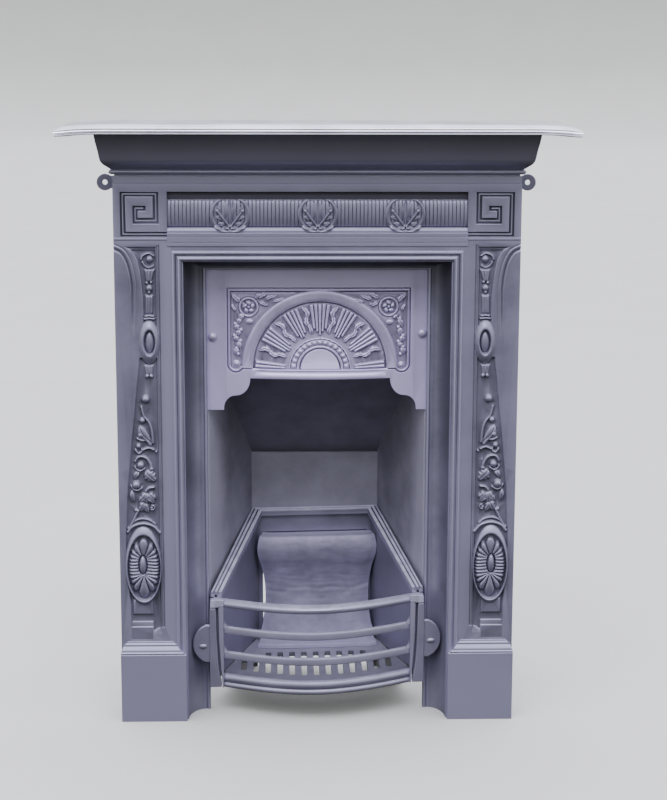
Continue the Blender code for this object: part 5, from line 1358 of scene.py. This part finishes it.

# %% Dust, and painted light from above, on what faces up
dust_and_top_light_group, into, out = new_group("dust and painted top light", {"Amount": 0.5, "Patch Scale": 60.0}, ("Mask",))
shape = put(dust_and_top_light_group, "ShaderNodeNewGeometry")
facing = put(dust_and_top_light_group, "ShaderNodeSeparateXYZ", Vector=shape.outputs["Normal"])
# Up-facing faces in noisy patches: dust, and painted light from above.
flat = put(dust_and_top_light_group, "ShaderNodeMapRange", Value=facing.outputs["Z"], From_Min=0.45, From_Max=0.98)
coordinates = put(dust_and_top_light_group, "ShaderNodeTexCoord")
patches = put(dust_and_top_light_group, "ShaderNodeTexNoise", Vector=coordinates.outputs["Object"],
              Scale=into.outputs["Patch Scale"], Detail=4.0)
share = maths(dust_and_top_light_group, "MULTIPLY", flat.outputs[0], patches.outputs["Fac"])
share = maths(dust_and_top_light_group, "MULTIPLY", share, into.outputs["Amount"])
dust_and_top_light_group.links.new(share, out.inputs["Mask"])
print("groups", [group.name for group in bpy.data.node_groups])


# %% The paint itself
def grate_paint(name, colour, roughness, grain=0.30, lumps=0.5, dull=0.0, dust_and_top_light=1.0, metal=0.45, soft=0.08, coat=0.0):
    """Satin paint over cast iron, in a colour of its own that is lighter or darker as painted light and shade, with its
    own sheen, grain, dust, and painted highlight on crests and shade in hollows.
    """
    material = bpy.data.materials.new(name)
    material.use_nodes = True
    tree = material.node_tree
    shader = tree.nodes["Principled BSDF"]
    cast = put(tree, "ShaderNodeGroup", {"node_tree": grain_group}, Lump_Share=lumps)
    crest_highlight_hollow_shade = put(tree, "ShaderNodeGroup", {"node_tree": crest_highlight_hollow_shade_group}, Softness=soft)
    dust_top_light_node = put(tree, "ShaderNodeGroup", {"node_tree": dust_and_top_light_group}, Amount=dust_and_top_light)
    dark = (*[c * 0.70 for c in colour], 1.0)
    light = (*[c * 1.30 for c in colour], 1.0)
    tone = mixed(tree, cast.outputs["Mottle"], dark, light)
    # Painted shade in the hollows, and a painted highlight on the crests that also stands for rubbed polish.
    tone = mixed(tree, crest_highlight_hollow_shade.outputs["Hollow Shade"], tone, (*[c * 0.30 for c in colour], 1.0))
    tone = mixed(tree, crest_highlight_hollow_shade.outputs["Crest Highlight"], tone, (*[c * 1.70 for c in colour], 1.0))
    # Dust on up-facing faces, in a light bluish tone that also paints light on the tops.
    tone = mixed(tree, dust_top_light_node.outputs["Mask"], tone, (0.50, 0.50, 0.63, 1.0))
    sheen = maths(tree, "MULTIPLY_ADD", cast.outputs["Mottle"], 0.07, roughness)
    sheen = maths(tree, "MULTIPLY_ADD", crest_highlight_hollow_shade.outputs["Hollow Shade"], 0.20 + dull, sheen)
    sheen = maths(tree, "MULTIPLY_ADD", crest_highlight_hollow_shade.outputs["Crest Highlight"], -0.06, sheen)
    sheen = maths(tree, "MULTIPLY_ADD", dust_top_light_node.outputs["Mask"], 0.35, sheen)
    bump = put(tree, "ShaderNodeBump", Height=cast.outputs["Height"], Strength=grain, Distance=0.0004)
    tree.links.new(tone, shader.inputs["Base Color"])
    tree.links.new(sheen, shader.inputs["Roughness"])
    tree.links.new(bump.outputs["Normal"], shader.inputs["Normal"])
    shader.inputs["Metallic"].default_value = metal
    shader.inputs["Coat Weight"].default_value = coat
    shader.inputs["Coat Roughness"].default_value = 0.12
    return material


GRAPHITE = (0.190, 0.182, 0.276)
# Each piece gets its own copy of the one paint, lighter or darker, as painted light and shade fitted piece by piece.
# The shelf's near-white colour is a painted highlight. The hood, firebox, brick and bars are lightened as painted
# light, and the basket and the grate are a little darker than the surround.
paints = {
    surround: grate_paint("surround_paint", GRAPHITE, 0.36, 0.30, soft=0.065),
    shelf: grate_paint("shelf_paint_painted_highlight", (0.720, 0.712, 0.860), 0.22, 0.22, dust_and_top_light=0.5, coat=0.6),
    hood_casting: grate_paint("hood_paint_painted_light", (0.372, 0.332, 0.548), 0.34, 0.25, soft=0.04),
    firebox: grate_paint("firebox_paint_painted_light", (0.245, 0.234, 0.312), 0.52, 0.55, 0.7, 0.1, 0.5, 0.40),
    basket: grate_paint("basket_paint", (0.175, 0.166, 0.246), 0.38, 0.40, dust_and_top_light=1.9),
    bars: grate_paint("bars_paint_painted_light", (0.215, 0.205, 0.300), 0.34, 0.25),
    grate: grate_paint("grate_paint", (0.180, 0.172, 0.230), 0.46, 0.45, 0.6, dust_and_top_light=0.5),
    brick: grate_paint("brick_paint_painted_light", (0.240, 0.224, 0.336), 0.50, 0.90, 0.75, 0.0, 0.5, 0.30),
}
# The screws' lighter colour is painted light, as on the hood.
screw_paint_painted_light = grate_paint("screw_paint_painted_light", (0.330, 0.300, 0.460), 0.30, 0.20)
paints.update({head: screw_paint_painted_light for head in screws})
for piece, paint in paints.items():
    piece.data.materials.clear()
    piece.data.materials.append(paint)
print("painted", len(paints), "pieces")

# %% [markdown]
# ## Floor, light and camera
#
# A pale floor, one large soft light high in front, and a sky that is bright overhead and dim
# near the ground, so that the moulding under the shelf falls into shade as it does outdoors.
# The camera stands where the photographer stood: 2.7 m in front, a metre up, looking down.

# %% How bright the sky is
SKY_LIGHT = 2.60
SIDE_LIGHT = 1.5
GROUND_LIGHT = 0.03

# %% The floor
begin()
bpy.ops.mesh.primitive_circle_add(vertices=96, radius=14.0, fill_type="NGON")
floor = bpy.context.object
floor.name = floor.data.name = "floor"
bpy.ops.object.mode_set(mode="EDIT")
bpy.ops.mesh.select_mode(type="EDGE")
bpy.ops.mesh.select_all(action="DESELECT")
bpy.ops.mesh.select_non_manifold()
for rise, spread in ((0.25, 1.04), (0.6, 1.03), (0.9, 1.015), (4.0, 1.01)):
    bpy.ops.mesh.extrude_edges_move(TRANSFORM_OT_translate={"value": (0, 0, rise)})
    bpy.ops.transform.resize(value=(spread, spread, 1), center_override=(0, 0, 0))
bpy.ops.object.mode_set(mode="OBJECT")
bpy.ops.object.shade_smooth()
floor.visible_diffuse = False
floor.visible_glossy = False
floor.visible_shadow = False
floor_paint = bpy.data.materials.new("floor_paint")
floor_paint.use_nodes = True
tree = floor_paint.node_tree
coordinates = put(tree, "ShaderNodeTexCoord")
clouds = put(tree, "ShaderNodeTexNoise", Vector=coordinates.outputs["Object"], Scale=3.0, Detail=4.0)
tone = mixed(tree, clouds.outputs["Fac"], (0.56, 0.56, 0.55, 1.0), (0.62, 0.62, 0.61, 1.0))
tree.links.new(tone, tree.nodes["Principled BSDF"].inputs["Base Color"])
tree.nodes["Principled BSDF"].inputs["Roughness"].default_value = 0.8
floor.data.materials.append(floor_paint)

# %% The sky and the soft light
sky = bpy.data.worlds.new("sky")
sky.use_nodes = True
bpy.context.scene.world = sky
tree = sky.node_tree
coordinates = put(tree, "ShaderNodeTexCoord")
way = put(tree, "ShaderNodeSeparateXYZ", Vector=coordinates.outputs["Generated"])
climb = put(tree, "ShaderNodeMapRange", Value=way.outputs["Z"], From_Min=-0.20, From_Max=0.75)
sideways = put(tree, "ShaderNodeMapRange", Value=maths(tree, "ABSOLUTE", way.outputs["X"]), From_Min=0.45, From_Max=0.95)
risen = put(tree, "ShaderNodeMapRange", Value=way.outputs["Z"], From_Min=-0.35, From_Max=0.15)
open_sides = maths(tree, "MULTIPLY", maths(tree, "MULTIPLY", sideways.outputs[0], risen.outputs[0]), SIDE_LIGHT)
strength = maths(tree, "MULTIPLY_ADD", maths(tree, "POWER", climb.outputs[0], 1.3), SKY_LIGHT, open_sides)
strength = maths(tree, "ADD", strength, GROUND_LIGHT)
tone = mixed(tree, climb.outputs[0], (0.95, 1.0, 0.74, 1.0), (0.95, 0.95, 1.06, 1.0))
tree.links.new(tone, tree.nodes["Background"].inputs["Color"])
tree.links.new(strength, tree.nodes["Background"].inputs["Strength"])
lamp = bpy.data.lights.new("soft light", "AREA")
lamp.shape = "RECTANGLE"
lamp.size = 2.6
lamp.size_y = 1.0
lamp.energy = 50.0
lamp.color = (0.96, 0.97, 1.0)
lamp_object = bpy.data.objects.new("soft light", lamp)
bpy.context.scene.collection.objects.link(lamp_object)
lamp_object.location = (-0.25, -1.85, 2.85)
aim = mathutils.Vector((0.0, 0.0, 0.55)) - lamp_object.location
lamp_object.rotation_euler = aim.to_track_quat("-Z", "Y").to_euler()

# %% The camera
camera = bpy.data.cameras.new("camera")
camera.lens = 81.0
camera.sensor_fit = "VERTICAL"
camera.sensor_height = 36.0
camera_object = bpy.data.objects.new("camera", camera)
camera_object.location = (-0.0561, -2.7646, 1.0465)
camera_object.rotation_euler = [math.radians(angle) for angle in (78.746, -0.1658, -1.678)]
bpy.context.scene.collection.objects.link(camera_object)
bpy.context.scene.camera = camera_object
